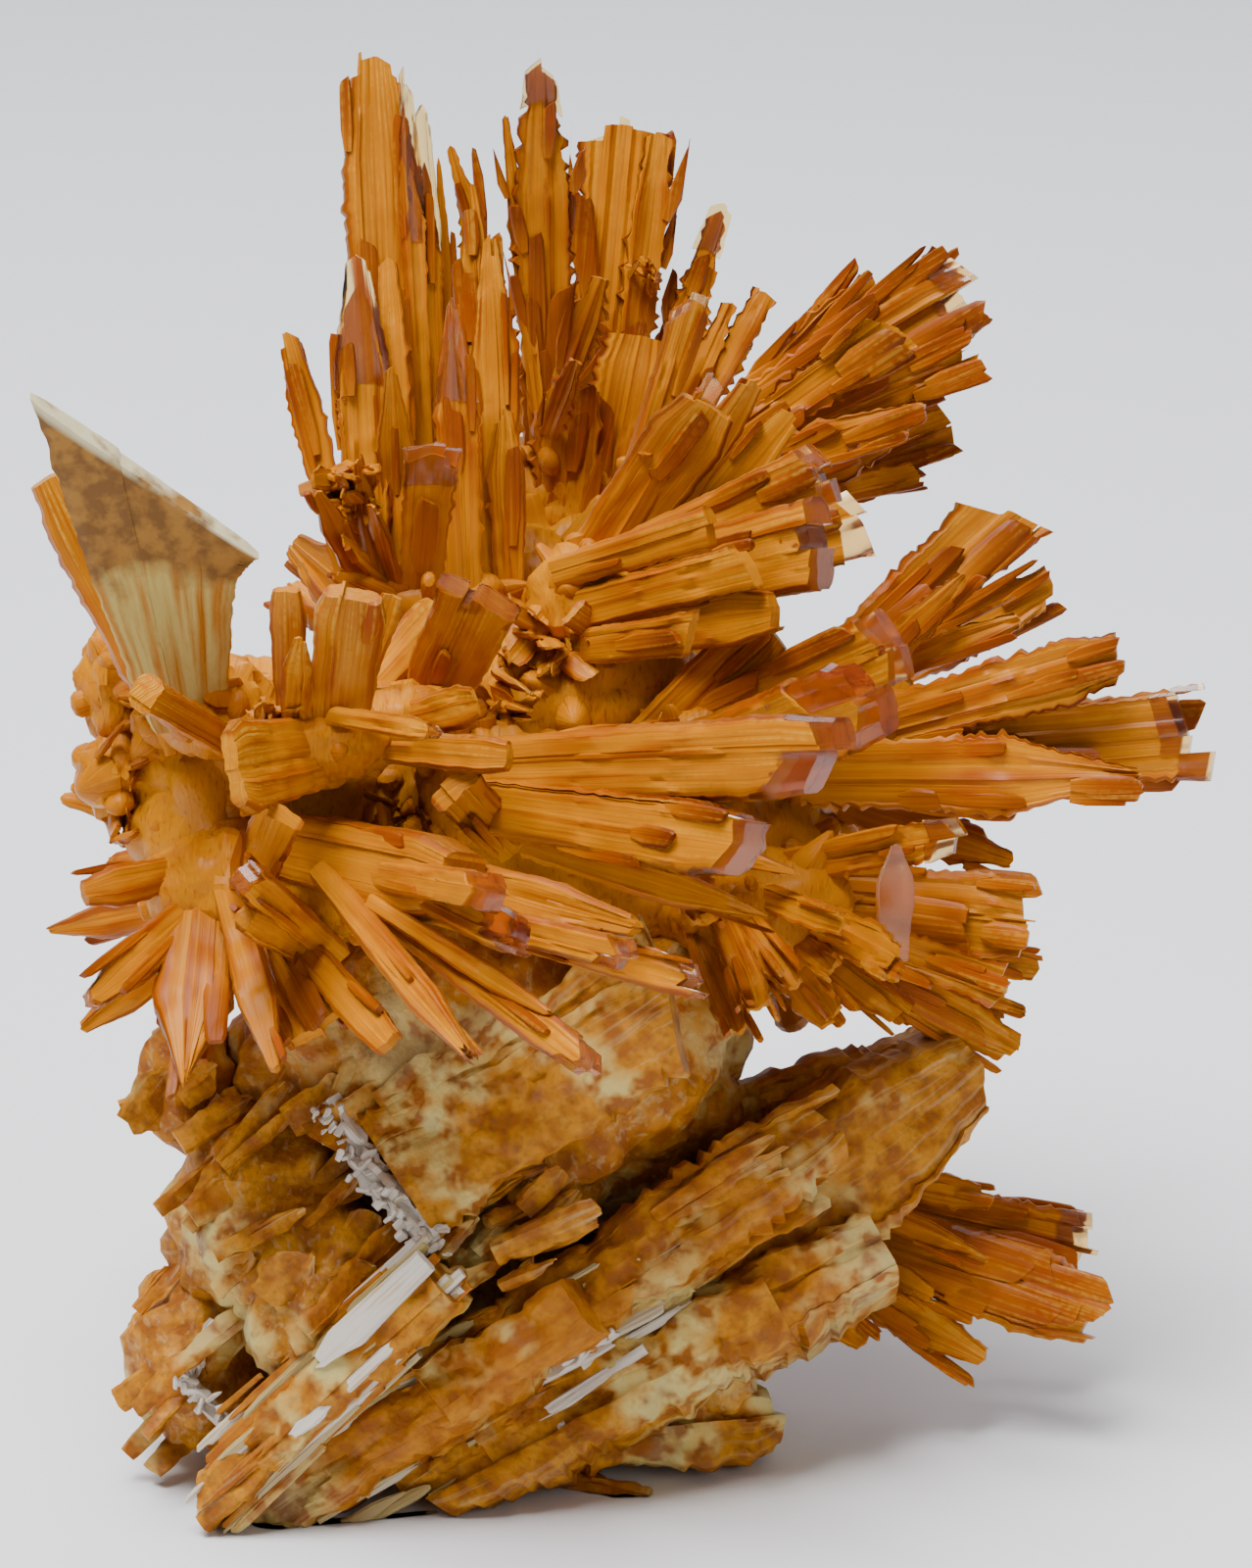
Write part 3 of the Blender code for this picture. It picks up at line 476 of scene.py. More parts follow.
def crystal(surface, start, stop, width, thick, turn, end, slant, habit, salt,
            begin=0.0, finish=1.0, shrink=0.0):
    """Adds one crystal. Its half width along the length is a straight taper plus saw teeth.
    Its height over the section is a superellipse plus fine ridges, plus laths, each a step
    up that ends at its own place. Each lath also has its own reach, so the end is ragged."""
    rng = np.random.default_rng(salt)
    axis, across, face = axes_of(start, stop, turn)
    length = np.linalg.norm(stop - start) / MM
    spacing = 0.6 if habit.tooth > 0.35 and width > 4 else 0.8
    rings = int(np.clip(length * (finish - begin) / spacing, 8, 110))
    columns = int(np.clip(width / 0.55, 7, 30))
    laths = max(2, round(width / habit.lath))
    bounds = np.sort(rng.uniform(-0.9, 0.9, laths - 1))
    x = np.linspace(-1, 1, columns)
    x = np.sort(np.concatenate([x, bounds - 0.06 / width, bounds + 0.06 / width]))
    columns = len(x)
    lath = np.searchsorted(bounds, x)
    s = np.linspace(begin, finish, rings)

    stations, widths = [0, 1], [ROOT_WIDTH, end]
    if end < BLUNT_END:
        stations, widths = [0, min(0.88, 0.55 + 0.4 * end), 1], [ROOT_WIDTH, 1, end]
    wide = np.interp(s, stations, widths) * (width / 2 - shrink)
    along = s * length
    room = np.clip(wide / 2.5, 0, 1) * np.clip((1.02 - s) / 0.1, 0.15, 1)
    left = -habit.tooth * (1 - saw(along, habit.pitch, rng)) * room
    right = habit.tooth * (1 - saw(along, habit.pitch, rng)) * room
    near_edge = np.clip((np.abs(x) - 0.5) / 0.5, 0, 1) ** 1.5
    notch = np.where(x[None, :] < 0, left[:, None], right[:, None]) * near_edge[None, :]
    side = wide[:, None] * x[None, :] - notch

    reach = 1 - rng.uniform(0, 1, laths) ** 2 * habit.rag
    reach = reach[lath] - 0.3 * habit.rag * np.abs(x)
    late = np.maximum(0, (s - 0.5) * 2)
    lean = slant * x[None, :] * (late * np.interp(s, stations, widths))[:, None]
    place = along[:, None] * np.where(s[:, None] > 0.5, 1 + (reach[None, :] - 1)
                                      * (s[:, None] - 0.5) * 2, 1) + lean

    round_off = (1 - np.abs(x) ** 6) ** 0.5
    deep = (np.interp(s, stations, 0.55 + 0.45 * np.array(widths)) * (thick / 2 - shrink))[:, None]
    heights, steps = [], []
    for _ in range(2):
        fine = sum(np.sin(x * width * k + rng.uniform(0, 6)) for k in (0.9, 1.5, 2.7)) / 2.4
        fine = fine[None, :] + 0.35 * np.sin(along[:, None] * 0.35 + x[None, :] * 5)
        stop_at = rng.uniform(0.35, 1.0, laths)[lath] + 0.06 * np.sin(x * 9 + salt)
        lift = rng.uniform(-1, 0, laths)[lath]
        fall = np.clip((s[:, None] - stop_at[None, :]) * length / 0.8, 0, 1)
        second = np.clip((s[:, None] - stop_at[None, :] * 0.6) * length / 0.8, 0, 1)
        step = lift[None, :] * 0.6 - fall * 0.6 - second * 0.4
        edge = 0.4 + 0.6 * round_off[None, :]
        inside = np.clip(round_off, 0, 1)[None, :]
        room_up = np.minimum(1, deep / 1.2)
        height = deep * edge + (habit.ridge * (fine - 1) + habit.step * step) * inside * room_up
        heights.append(np.maximum(height, 0.12 * deep))
        steps.append(np.clip(0.62 + 0.42 * fine + 0.5 * step, 0, 1))
    up = np.concatenate([heights[0], -heights[1][:, ::-1]], axis=1)
    over = np.concatenate([side, side[:, ::-1]], axis=1)
    forward = np.concatenate([place, place[:, ::-1]], axis=1)
    points = (start + (axis * forward[..., None] + across * over[..., None]
                       + face * up[..., None]) * MM).reshape(-1, 3)
    outward = (across * (over * 0.3)[..., None] + face * np.sign(up)[..., None]).reshape(-1, 3)
    outward /= np.linalg.norm(outward, axis=1)[:, None]
    if shrink == 0:
        fade = np.repeat(np.clip(1.4 - s, 0.2, 1), 2 * columns)
        size = min(3.2, width * 0.5)
        if habit is SHEET:
            size = 5.5
        elif habit is GRANULAR:
            size = 1.7
        bump = knobs(points / MM, size, salt % 7) * habit.lump * fade
        bump += 0.05 * waves(points / MM, 6.0, salt % 5)
        if habit is SHEET:
            bump += 0.45 * knobs(points / MM, 1.9, 2)
        points = points + outward * (bump - habit.lump)[:, None] * MM
    ridge = np.concatenate([steps[0], steps[1][:, ::-1]], axis=1)
    rim = np.abs(np.concatenate([x, x[::-1]]))[None, :] ** 6 + 0 * ridge
    share = np.repeat(s, 2 * columns).reshape(ridge.shape)
    worn = habit.pale * np.clip((share - 0.45) * 1.6, 0, 1)
    burn = min(1, habit.burn * rng.uniform(0.5, 1.35))
    # The second fact is high on raised ridges and on the rims: the coat burns them brown, or paints
    # a pale highlight on them where it is little burnt
    facts = np.stack([share, np.maximum(ridge * 0.8, rim), burn + 0 * ridge, worn], axis=-1)
    flat = np.concatenate([x, x[::-1] + 3]) * width / 2 + 0 * over
    grain = np.stack([flat, forward, np.full_like(over, salt * 3.7)], axis=-1)
    surface.add(points, tube_quads(rings, 2 * columns), facts.reshape(-1, 4), grain.reshape(-1, 3))


def flakes(surface, start, stop, width, thick, turn, end, habit, salt, reach):
    """Lays a few thin plates on both faces of a crystal. Each lies nearly along it, turned
    outward by its place across, with its root sunk in and its broken tip just proud."""
    rng = np.random.default_rng(salt + 5)
    axis, across, face = axes_of(start, stop, turn)
    length = np.linalg.norm(stop - start) / MM
    count = int(length * width * 0.02 * habit.flakes)
    peak = min(0.88, 0.55 + 0.4 * end) if end < BLUNT_END else 1
    t = np.array([0, 0.3, 0.7, 0.93, 1.0])
    taper = np.array([0.6, 1, 0.95, 0.85, 0.6])
    over = np.array([-1, -0.7, 0.7, 1, 1, 0.7, -0.7, -1])
    lift = np.array([0.3, 1, 1, 0.3, -0.3, -1, -1, -0.3]) * 0.35
    quads = tube_quads(len(t), len(over))
    for _ in range(count):
        u, v = rng.uniform(0.1, 0.85 * reach), rng.uniform(-0.8, 0.8)
        side = rng.choice([-1, 1])
        wide = np.interp(u, [0, peak, 1], [ROOT_WIDTH, 1, end]) * width / 2
        long = min(rng.uniform(4, 13), (0.99 * reach - u) * length)
        half = rng.uniform(0.16, 0.42) * width / 2 * (1 - 0.4 * abs(v))
        lean = math.radians(habit.splay) * v + rng.normal(0, 0.02)
        out = over * (half * taper)[:, None]
        on = long * t[:, None] + rng.uniform(-0.5, 0.5) * half * over * t[:, None] ** 3
        spread = v * wide + on * math.sin(lean) + out * math.cos(lean)
        spread = np.clip(spread, -wide - 0.25, wide + 0.25)
        forward = u * length + on * math.cos(lean) - out * math.sin(lean)
        deep = thick / 2 * (1 - v ** 4) ** 0.5 * 0.9
        height = side * (deep - 0.55 + 0.5 * t[:, None] + lift)
        points = start + (axis * forward[..., None] + across * spread[..., None]
                          + face * height[..., None]) * MM
        share = forward / length
        ridge = 0.35 + 0.4 * t[:, None] + 0 * over
        worn = habit.pale * np.clip((share - 0.45) * 1.6, 0, 1)
        facts = np.stack([share, ridge, habit.burn + 0 * share, worn], axis=-1)
        grain = np.stack([spread + salt, forward, 0 * share + salt * 3.7], axis=-1)
        surface.add(points.reshape(-1, 3), quads if side > 0 else quads[:, ::-1],
                    facts.reshape(-1, 4), grain.reshape(-1, 3))


def ball(surface, centre, radii, size, height, facts, detail=1.0, salt=0.0):
    """Adds a lump: a ball drawn out to its radii, pushed in between the knobs that cover it.
    The poles are closed by rings too small to see."""
    rings = int(np.clip(max(radii) * 2.2 * detail, 7, 110))
    around = int(np.clip(max(radii) * 4.4 * detail, 8, 220)) // 2 * 2
    polar = np.linspace(0.002, math.pi - 0.002, rings)
    turn = np.linspace(0, 2 * math.pi, around, endpoint=False)
    sphere = np.stack([np.sin(polar)[:, None] * np.cos(turn), np.cos(polar)[:, None] + 0 * turn,
                       np.sin(polar)[:, None] * np.sin(turn)], axis=-1).reshape(-1, 3)
    middle = at(centre)
    reach = (sphere[:, :1] * radii[0] * RIGHT + sphere[:, 1:2] * radii[1] * UP_PLANE
             + sphere[:, 2:] * radii[2] * TO_VIEWER)
    places = middle / MM + reach
    bump = height * (knobs(places, size, salt) - 1)
    bump += 0.4 * height * (knobs(places, size * 0.4, salt + 3) - 1)
    bump += 0.05 * min(radii) * (waves(places, 14, salt) - 0.6)
    outward = reach / np.linalg.norm(reach, axis=1)[:, None]
    points = (places + outward * bump[:, None]) * MM
    ring, place = np.meshgrid(np.arange(rings - 1), np.arange(around), indexing="ij")
    beside = (place + 1) % around
    sides = np.stack([ring * around + place, (ring + 1) * around + place,
                      (ring + 1) * around + beside, ring * around + beside], axis=-1).reshape(-1, 4)
    half = around // 2
    first = np.arange(half - 1)
    strip = np.stack([first, first + 1, around - 2 - first, around - 1 - first], axis=-1)
    far = strip[:, ::-1] + (rings - 1) * around
    quads = np.concatenate([sides, strip, far])
    worn = np.clip(1 + bump / height, 0, 1)
    fact = np.tile(np.array(facts, float), (len(points), 1))
    fact[:, 1] = worn * 0.6
    surface.add(points, quads, fact, places)


def nub(surface, start, stop, radius, facts, salt):
    """Adds a blunt round-ended finger: rings along a straight path, each radius the root of
    one less the fourth power of its share of the length."""
    _, across, face = axes_of(start, stop, salt * 31)
    share = np.array([0, 0.35, 0.65, 0.84, 0.95, 0.999])
    turn = (np.arange(NUB_SIDES) + 0.5) / NUB_SIDES * 2 * math.pi
    rim = radius * np.sqrt(1 - share ** 4) * (0.85 + 0.3 * np.sin(share * 4 + salt)) * MM
    ring = across * np.cos(turn)[:, None] * 1.25 - face * np.sin(turn)[:, None] * 0.9
    points = (start + share[:, None, None] * (stop - start) + rim[:, None, None] * ring)
    along = np.repeat(share, NUB_SIDES)
    fact = np.tile(np.array(facts, float), (len(along), 1))
    fact[:, 1] = along * 0.7
    length = np.linalg.norm(stop - start) / MM
    grain = np.stack([np.tile(turn * radius, len(share)), along * length,
                      np.full(len(along), salt * 1.3)], axis=-1)
    surface.add(points.reshape(-1, 3), tube_quads(len(share), NUB_SIDES), fact, grain)


def nubs(surface, centre, radii, count, size, facts, salt):
    """Adds nubs that point outward all over a lump, placed by a golden-angle spiral that
    runs from the side towards the viewer to the far side."""
    rng = np.random.default_rng(salt)
    for i in range(count):
        height = 1 - 1.8 * (i + 0.5) / count
        flat = math.sqrt(max(0, 1 - height * height))
        turn = GOLDEN_TURN * i + salt + rng.normal(0, 0.25)
        way = np.array([flat * math.cos(turn), flat * math.sin(turn), height])
        way = way + rng.normal(0, 0.12, 3)
        reach = np.array(centre) + way * radii
        big = size * rng.uniform(0.55, 1.3)
        first = reach - way * (2.5 + size)
        last = reach + way * rng.uniform(-0.9, 0.3) * size
        if at(last)[2] > 0.001 and at(first)[2] > 0.002:
            nub(surface, at(first), at(last), big, facts, salt * 0.7 + i)


def spray_pieces():
    """Every spray as one piece, and all the bare see-through ends as another."""
    clear = Surface()
    for number, (node, (habit, shapes)) in enumerate(SPRAYS.items()):
        surface = Surface()
        for i, shape in enumerate(shapes):
            salt = number * 100 + i * 7 + 3
            if isinstance(shape, Lump):
                facts = (0.2, 0.5, habit.burn * 0.6, 0.05)
                ball(surface, shape.centre, shape.radii, 3.2, 1.5, facts, 1.2, salt)
                nubs(surface, shape.centre, shape.radii, 34, 1.7, facts, salt)
                continue
            start, stop = at(shape.root), at(shape.tip)
            sizes = (shape.width, shape.thick, shape.turn, shape.end, shape.slant)
            ragged = habit._replace(rag=habit.rag + 1.3 * shape.clear)
            if shape.clear < 1:
                crystal(surface, start, stop, *sizes, ragged, salt, 0, 1 - 0.3 * shape.clear)
                flakes(surface, start, stop, *sizes[:4], habit, salt, 1 - shape.clear)
            if shape.clear:
                bare = habit._replace(tooth=0.3, lump=0, ridge=0.1, step=0.5, rag=0.09)
                crystal(clear, start, stop, *sizes, bare, salt,
                        max(0, 1 - 1.5 * shape.clear - 0.04), 1, 0.16)
        surface.piece(node + "_coated", coated, node)
    clear.piece("clear_ends", clear_selenite, sharp=25)
    sand, shape = Surface(), SANDY_BLADE
    crystal(sand, at(shape.root), at(shape.tip), *shape[2:7], SANDY, 61)
    sand.piece("sandy_blade", sandy, "left_blades")


def back_pieces():
    """The sprays away from the viewer, each on a golden-angle spiral round its pole."""
    for number, (node, fan) in enumerate(BACK_FANS.items()):
        surface = Surface()
        pole = towards(fan.pole)
        side = np.array(Vector(pole).orthogonal().normalized())
        other = np.cross(pole, side)
        centre = at(fan.centre)
        ball(surface, fan.centre, (7, 7, 7), 3.4, 0.9, (0.2, 0.5, 0.3, 0.05), 1.3, number)
        for i in range(fan.count):
            share = math.sqrt((i + 0.5) / fan.count)
            turn = fan.first + GOLDEN_TURN * i
            lean = math.radians(fan.spread) * share
            around = side * math.cos(turn) + other * math.sin(turn)
            way = pole * math.cos(lean) + around * math.sin(lean)
            length = fan.length * (1 - 0.2 * share) * (0.88 + 0.16 * math.sin(2.4 * i + 1))
            wide = 8.2 + 2.4 * math.sin(1.7 * i)
            end = 0.5 + 0.4 * math.sin(2.9 * i + 0.5)
            start = centre + way * 3 * MM
            sizes = (wide, 3.4, math.degrees(turn) * 2, end)
            salt = 700 + number * 50 + i
            stop = start + way * length * MM
            crystal(surface, start, stop, *sizes, 0, BACK, salt)
            flakes(surface, start, stop, *sizes, BACK, salt, 1)
        surface.piece(node + "_coated", coated, node)


def front_of(across, down):
    """How near the viewer the matrix's lumps come at a place of the measured plane."""
    best = -30.0
    for shape in MATRIX:
        left = 1 - ((across - shape.centre[0]) / shape.radii[0]) ** 2
        left -= ((down - shape.centre[1]) / shape.radii[1]) ** 2
        if left > 0:
            best = max(best, shape.centre[2] + shape.radii[2] * math.sqrt(left))
    return best


def ledge(surface, place, way, lengths, widths, thicks, turns, habit, rng, salt):
    """Adds a small plate with its middle at a place. Its sizes in mm and its turn in degrees
    are drawn between the two given, and its end is cut at random."""
    length, width, thick, turn = [rng.uniform(*ends) for ends in (lengths, widths, thicks, turns)]
    half = np.array(way) * length / 2
    crystal(surface, at(place - half), at(place + half), width, thick, turn,
            rng.uniform(0.15, 0.9), rng.uniform(-0.6, 0.6), habit, salt)


def small_crystals():
    """The small crystals between the sprays, each one pointing out of its cluster's root."""
    rng = np.random.default_rng(31)
    surface = Surface()
    for number, (middle, radii, count, least, most, width, habit) in enumerate(JUMBLES):
        root = np.array(middle) - (0, 0, 3 * radii[2])
        for i in range(count):
            place = np.array(middle) + rng.uniform(-0.6, 0.6, 3) * radii
            way = (place - root) / np.linalg.norm(place - root) + rng.normal(0, 0.35, 3)
            way *= rng.uniform(least, most) / np.linalg.norm(way)
            wide = width * rng.uniform(0.6, 1.4)
            crystal(surface, at(place - 0.75 * way), at(place + 0.25 * way), wide, wide * 0.55,
                    rng.uniform(0, 180), rng.uniform(0.3, 0.9), rng.uniform(-0.5, 0.5), habit,
                    2000 + number * 40 + i)
    surface.piece("small_crystals", coated)


def matrix_pieces():
    """The heart's knobbly lumps, the weathered base and slab with their sheets and ledges, and
    the bare white fibres and shards where it was cleaved."""
    heart, low, slab, bare = Surface(), Surface(), Surface(), Surface()
    for i, shape in enumerate(MATRIX):
        if shape.centre[1] > 100:
            weathered = 1.0 if shape.centre[1] > 112 else 0.7
            ball(low, shape.centre, shape.radii, 6.0, 2.4, (0.3, 0.5, weathered, 0.3), 1.0, i)
            continue
        facts = (0.1, 0.5, 0.1, 0.1)
        ball(heart, shape.centre, shape.radii, 4.6, 2.0, facts, 1.0, i)
        count = int(10 + 2.4 * max(shape.radii))
        nubs(heart, shape.centre, shape.radii, count, 2.2, facts, i + 40)
    for i, shape in enumerate(SHEETS):
        crystal(slab, at(shape.root), at(shape.tip), shape.width, shape.thick, shape.turn,
                shape.end, shape.slant, SHEET, 900 + i * 7)
    rng = np.random.default_rng(12)
    draw = rng.uniform
    for i in range(60):
        share, row = draw(0, 1), draw(0, 1)
        place = np.array([51, 151, 13]) * (1 - share) + np.array([83, 131, 9]) * share
        place = place + np.array([-7, -13, 6]) * row
        way = np.array([0.87, -0.49, -0.08]) + rng.normal(0, 0.05, 3)
        ledge(slab, place, way, (6, 17), (1.6, 4), (1.2, 2.6), (-30, 30), LEDGE, rng, 1000 + i)
    for i in range(64):
        across, down = draw(14, 44), draw(110, 150)
        near = front_of(across, down)
        if near < 0:
            continue
        place = np.array([across, down, near - draw(0.2, 1.2)])
        way = np.array([0.72, -0.62, 0.0]) + rng.normal(0, 0.16, 3)
        ledge(slab, place, way, (5, 12), (2, 6), (1.0, 2.0), (-35, 35), LEDGE, rng, 1080 + i)
    for i in range(22):
        place = np.array([draw(45, 57), draw(119, 131), draw(15, 23)])
        way = np.array([0.8, -0.5, 0.1]) + rng.normal(0, 0.2, 3)
        ledge(slab, place, way, (5, 10), (2, 5), (1.6, 3), (-60, 60), LEDGE, rng, 1160 + i)
    for i in range(90):
        row = draw(-4.6, 4.8)
        place = np.array([46.5, 128.8, 28.2 - 0.12 * row * row]) + np.array([0.67, 0.74, 0]) * row
        begin = draw(0, 0.7)
        way = np.array([-26.4, 24.6, -8.6]) + rng.normal(0, 0.7, 3)
        first = place + way * begin
        last = place + way * min(1, begin + draw(0.15, 0.5))
        target = bare if draw() < 0.4 else slab
        crystal(target, at(first), at(last), draw(0.6, 1.6), draw(0.7, 1.3),
                draw(-30, 30), draw(0.4, 0.9), 0, FIBRE, 1200 + i)
    for i in range(54):
        share, row = draw(0, 1), draw(-0.3, 1)
        place = np.array([34, 156, 15]) * (1 - share) + np.array([72, 137, 12]) * share
        place = place + np.array([-6, -11, 5.5]) * row
        way = np.array([0.87, -0.49, -0.08]) + rng.normal(0, 0.03, 3)
        ledge(bare, place, way, (5, 15), (0.7, 1.7), (0.8, 1.6), (-30, 30), FIBRE, rng, 1600 + i)
    for i, (first, last, width) in enumerate(WHITE_STRIPS):
        crystal(bare, at(first), at(last), width, 1.8, 10, 0.5, 1.2, WHITE, 1500 + i)
    for number, (first, last, width, count, size) in enumerate(FRACTURES):
        first, last = np.array(first), np.array(last)
        crystal(bare, at(first), at(last), width, 3.6, 42, 0.85, 0, GRANULAR, 1520 + number)
        for i in range(count):
            place = first + (last - first) * draw(0, 1)
            place = place + draw(-1, 1, 3) * (0.3 * width, 0.2 * width, 0.8) + (0, 0, 1.0)
            way = np.array([0.7, -0.6, 0.2]) + rng.normal(0, 0.5, 3)
            way /= np.linalg.norm(way)
            ledge(bare, place, way, (0.8 * size, 1.7 * size), (0.5 * size, 1.2 * size),
                  (0.3 * size, 0.8 * size), (0, 180), WHITE, rng, 1300 + i)
    heart.piece("knobbly_heart", coated, "cleaved_matrix")
    low.piece("weathered_base", crusted, "cleaved_matrix", slot="crusted_gypsum")
    slab.piece("crusted_slab", crusted, "cleaved_matrix", slot="crusted_gypsum")
    bare.piece("bare_cleavage", fibrous, slot="crusted_gypsum")


# The output of the coordinate node that gives the place on the object
OBJECT_PLACE = 3


def linear(colour):
    """Linear RGBA of an sRGB hex colour."""
    parts = [int(colour[k:k + 2], 16) / 255 for k in (1, 3, 5)]
    return (*(p / 12.92 if p <= 0.04045 else ((p + 0.055) / 1.055) ** 2.4 for p in parts), 1)


def add(tree, kind, links=None, **settings):
    """Adds a node with its settings, and its inputs set or linked by name or number, a hex
    colour made linear. Returns the outputs that are in use."""
    node = tree.nodes.new("ShaderNode" + kind)
    for name, value in settings.items():
        setattr(node, name, value)
    for key, value in (links or {}).items():
        if isinstance(value, bpy.types.NodeSocket):
            tree.links.new(value, node.inputs[key])
        else:
            node.inputs[key].default_value = linear(value) if isinstance(value, str) else value
    return [output for output in node.outputs if output.enabled]


def new_material(name):
    """An empty node material and its tree."""
    made = bpy.data.materials.new(name)
    made.use_nodes = True
    made.node_tree.nodes.clear()
    return made, made.node_tree


def point_facts(tree):
    """The four facts of each point: along the crystal, ridge, burnt or weathered, and worn."""
    colour, _, _, worn = add(tree, "Attribute", attribute_name="coat")
    return [*add(tree, "SeparateColor", {0: colour}), worn]


def streaks(tree, squeeze, detail):
    """Fine lines along the crystal: noise over the grain's millimetres, squeezed by axis."""
    grain = add(tree, "Attribute", attribute_name="grain")[1]
    place = add(tree, "Mapping", {"Vector": grain, "Scale": squeeze})[0]
    return add(tree, "TexNoise", {"Vector": place, "Scale": 1.0, "Detail": detail})[0]


def layers(tree, base, coats):
    """Lays coats of colour over a base. Each is a colour and the shares whose product is its
    cover: a value, or (value, low, high) for that range made 0 to 1."""
    for colour, *shares in coats:
        cover = 1.0
        for share in shares:
            if isinstance(share, tuple):
                share = add(tree, "MapRange", dict(enumerate(share)))[0]
            cover = add(tree, "Math", {0: cover, 1: share}, operation="MULTIPLY")[0]
        base = add(tree, "Mix", {0: cover, 6: base, 7: colour}, data_type="RGBA")[0]
    return base


def rough_surface(tree, colour, roughness, shine, height, strength, depth):
    """An opaque surface of that colour, roughness and specular level, over a bump of that
    height, strength and depth in metres."""
    bump = add(tree, "Bump", {"Strength": strength, "Distance": depth, "Height": height})[0]
    shader = add(tree, "BsdfPrincipled", {"Base Color": colour, "Roughness": roughness,
                                          "Specular IOR Level": shine, "Normal": bump})[0]
    add(tree, "OutputMaterial", {0: shader})


def ochre_coat():
    """Selenite under a thin dull coat of iron ochre: soft satin, golden in the hollows, pale where
    worn towards the tip, with a painted highlight of pale gold on its ridges and rims, burnt brown
    where the coat is thick, with fine lines along the crystal."""
    made, tree = new_material("ochre_coat")
    share, ridge, burn, worn = point_facts(tree)
    lines = streaks(tree, (3.0, 0.06, 1), 2.0)
    place = add(tree, "TexCoord")[OBJECT_PLACE]
    blotch = add(tree, "TexNoise", {"Vector": place, "Scale": 130.0, "Detail": 2.0})[0]
    grit = add(tree, "TexNoise", {"Vector": place, "Scale": 1500.0, "Detail": 1.0})[0]
    base = layers(tree, "#984400", [
        ("#b46200", (blotch, 0.38, 0.62)),
        ("#c88300", (share, 0.5, 0.05), 0.5),
        ("#c98600", (ridge, 0.5, 0.2), 0.4),
        ("#cc8803", (lines, 0.56, 0.68), 0.35),
        ("#7d3300", (lines, 0.42, 0.3), 0.5),
        ("#6a2802", burn, (ridge, 0.3, 0.7), (share, 0.1, 0.7), (blotch, 0.25, 0.5)),
        ("#d0a53c", worn, (lines, 0.48, 0.64), (grit, 0.35, 0.6)),
        # painted highlight: pale gold on the raised ridges and rims where the coat is little burnt
        ("#d2a840", (burn, 1.0, 0.0), (ridge, 0.72, 1.0), (lines, 0.42, 0.55), 0.3),
    ])
    dents = add(tree, "Math", {0: grit, 1: 0.15, 2: lines}, operation="MULTIPLY_ADD")[0]
    rough_surface(tree, base, 0.36, 0.12, dents, 0.3, 0.00025)
    return made


def crust():
    """Weathered gypsum: an ochre skin with cream and grey-green crust in patches, darker in
    its pits, and pale fibres where the slab was cleaved. Rough as fine plaster."""
    made, tree = new_material("weathered_crust")
    _, ridge, weathered, worn = point_facts(tree)
    lines = streaks(tree, (1.3, 0.06, 1), 2.0)
    place = add(tree, "TexCoord")[OBJECT_PLACE]
    patch = add(tree, "TexNoise", {"Vector": place, "Scale": 75.0, "Detail": 3.0,
                                   "Roughness": 0.6})[0]
    spot = add(tree, "TexNoise", {"Vector": place, "Scale": 420.0, "Detail": 2.0})[0]
    grit = add(tree, "TexNoise", {"Vector": place, "Scale": 1600.0, "Detail": 1.0})[0]
    fresh = layers(tree, "#8a3c00", [("#ab5f00", (ridge, 0.1, 0.5))])
    ochre = layers(tree, "#8f4f06", [("#bb7a0c", (spot, 0.38, 0.62))])
    base = layers(tree, fresh, [
        (ochre, weathered),
        ("#5e431c", weathered, (grit, 0.5, 0.7), 0.35),
        ("#c9b268", weathered, (patch, 0.5, 0.6), (spot, 0.38, 0.55)),
        ("#938e6b", weathered, (patch, 0.58, 0.7), 0.6),
        ("#cbb583", worn, (lines, 0.56, 0.66), 0.8),
    ])
    dents = add(tree, "Math", {0: grit, 1: 0.4, 2: spot}, operation="MULTIPLY_ADD")[0]
    rough_surface(tree, base, 0.6, 0.25, dents, 0.6, 0.0006)
    return made


def bare_fibres():
    """Freshly cleaved fibrous selenite: silky white, honey grey where the fibres are stained,
    with a little ochre between them."""
    made, tree = new_material("bare_fibrous_selenite")
    _, _, honey, _ = point_facts(tree)
    lines = streaks(tree, (2.6, 0.12, 1), 3.0)
    base = layers(tree, "#cfc5b8", [
        ("#b09a62", (honey, 0.35, 0.6)),
        ("#b08a40", (lines, 0.54, 0.72), 0.8),
    ])
    rough_surface(tree, base, 0.3, 0.4, lines, 0.5, 0.0003)
    return made


def sand_crust():
    """A crust of fine brown sand over the upper part, worn to pale cream gypsum below: dull,
    with a light rim where the plate is broken."""
    made, tree = new_material("sand_crust")
    share, *_ = point_facts(tree)
    lines = streaks(tree, (1.6, 0.07, 1), 4.0)
    place = add(tree, "TexCoord")[OBJECT_PLACE]
    blotch = add(tree, "TexNoise", {"Vector": place, "Scale": 220.0, "Detail": 4.0})[0]
    grit = add(tree, "TexNoise", {"Vector": place, "Scale": 480.0, "Detail": 3.0})[0]
    brown = layers(tree, "#976a2b", [("#704c21", (grit, 0.4, 0.6))])
    edge = add(tree, "Math", {0: blotch, 1: 0.35, 2: share}, operation="MULTIPLY_ADD")[0]
    base = layers(tree, "#b9a35a", [
        ("#a96c1a", (lines, 0.4, 0.65)),
        (brown, (edge, 0.74, 0.82)),
        ("#c9bd96", (share, 0.965, 0.99), (blotch, 0.35, 0.5)),
    ])
    rough_surface(tree, base, 0.7, 0.25, grit, 0.6, 0.0005)
    return made


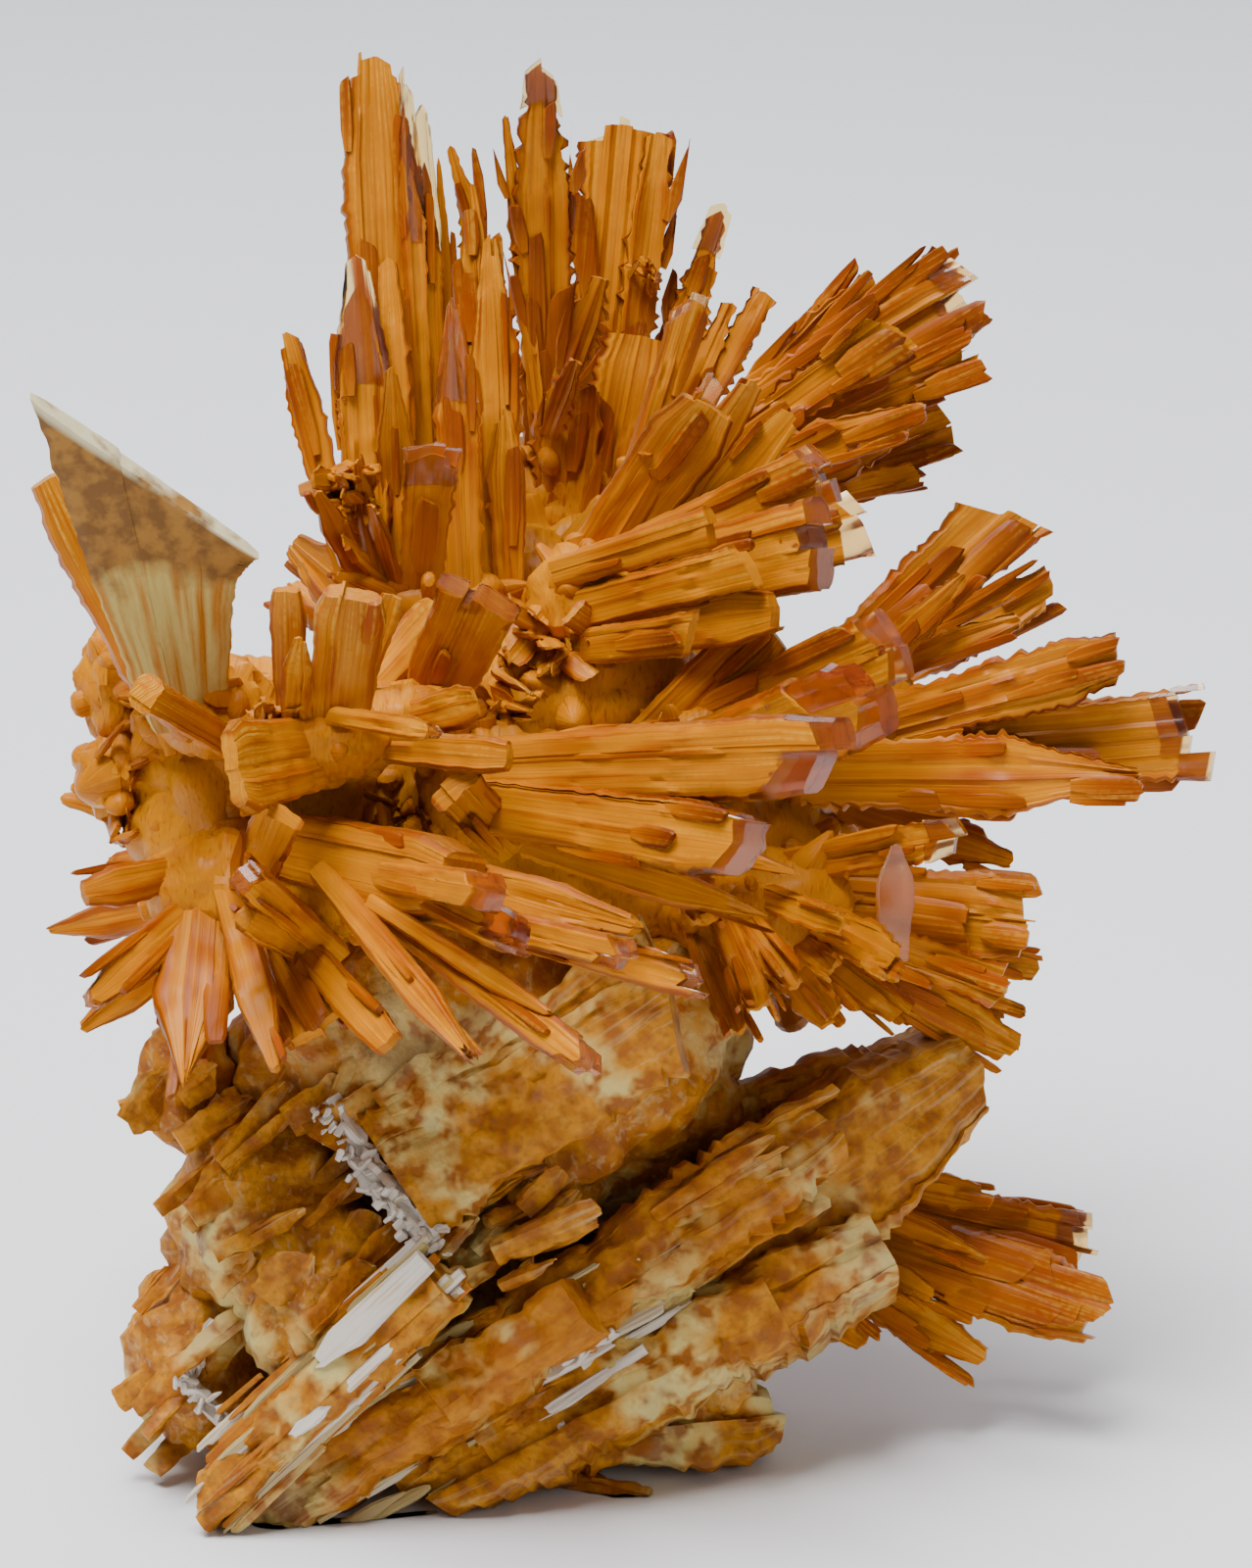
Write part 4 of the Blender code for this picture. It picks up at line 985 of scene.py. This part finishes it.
def clear_gypsum():
    """Bare selenite: clear with a honey tint, slightly frosted by cleavage. Its index is
    gypsum's 1.52."""
    made, tree = new_material("clear_selenite")
    shader = add(tree, "BsdfPrincipled", {
        "Base Color": "#ffe09a", "Roughness": 0.24, "IOR": 1.52,
        "Specular IOR Level": 0.35, "Transmission Weight": 1.0})[0]
    depth = add(tree, "VolumeAbsorption", {0: "#f4c65c", 1: 200.0})[0]
    add(tree, "OutputMaterial", {0: shader, 1: depth})
    return made


def paper():
    """Matt white paper, for the surroundings."""
    made, tree = new_material("pale_paper")
    shader = add(tree, "BsdfPrincipled", {"Base Color": "#e6e7ea", "Roughness": 0.9})[0]
    add(tree, "OutputMaterial", {0: shader})
    return made


def backdrop():
    """A floor that sweeps up behind the specimen: straight, a quarter circle, straight."""
    bend = np.linspace(0, math.pi / 2, 24)
    depth = np.concatenate([[-1.8], 1.3 + 0.4 * np.sin(bend), [1.7]])
    height = np.concatenate([[0], 0.4 - 0.4 * np.cos(bend), [2.5]])
    rows = len(depth)
    points = np.array([[x, y, z] for x in (-2.5, 2.5) for y, z in zip(depth, height)])
    quads = [(k, rows + k, rows + k + 1, k + 1) for k in range(rows - 1)]
    mesh = bpy.data.meshes.new("backdrop")
    mesh.from_pydata(points.tolist(), [], quads)
    mesh.shade_smooth()
    mesh.materials.append(paper())
    made = bpy.data.objects.new("backdrop", mesh)
    scene.collection.objects.link(made)


def light(name, place, target, size, power, colour):
    """A square area light aimed at a point."""
    data = bpy.data.lights.new(name, "AREA")
    data.size = size
    data.energy = power
    data.color = linear(colour)[:3]
    made = bpy.data.objects.new(name, data)
    scene.collection.objects.link(made)
    made.location = place
    way = Vector(target) - Vector(place)
    made.rotation_euler = way.to_track_quat("-Z", "Y").to_euler()


def surroundings():
    """The pale floor, the soft studio light and the camera at the photograph's angle."""
    backdrop()
    world = bpy.data.worlds.new("studio")
    scene.world = world
    world.use_nodes = True
    world.node_tree.nodes["Background"].inputs[0].default_value = linear("#e9edf4")
    world.node_tree.nodes["Background"].inputs[1].default_value = 0.2
    middle = (0, 0, 0.06)
    light("overhead", (-0.3, -0.3, 1.3), middle, 0.75, 42.0, "#ffffff")
    light("front_fill", (0.5, -0.8, 0.35), middle, 0.5, 1.4, "#fdf8f0")
    light("backdrop_wash", (0, 0.9, 1.1), (0, 0.95, 0), 0.9, 9.0, "#f4f7ff")
    data = bpy.data.cameras.new("camera")
    data.lens = 135
    data.sensor_width = 36
    data.clip_start = 0.01
    made = bpy.data.objects.new("camera", data)
    scene.collection.objects.link(made)
    made.location = at((*PLANE_MIDDLE, 0.0)) + TO_VIEWER * EYE_DISTANCE * MM
    made.rotation_euler = (math.pi / 2 - EYE_TILT, 0, 0)
    scene.camera = made


coated = ochre_coat()
crusted = crust()
fibrous = bare_fibres()
sandy = sand_crust()
clear_selenite = clear_gypsum()
spray_pieces()
back_pieces()
small_crystals()
matrix_pieces()
surroundings()
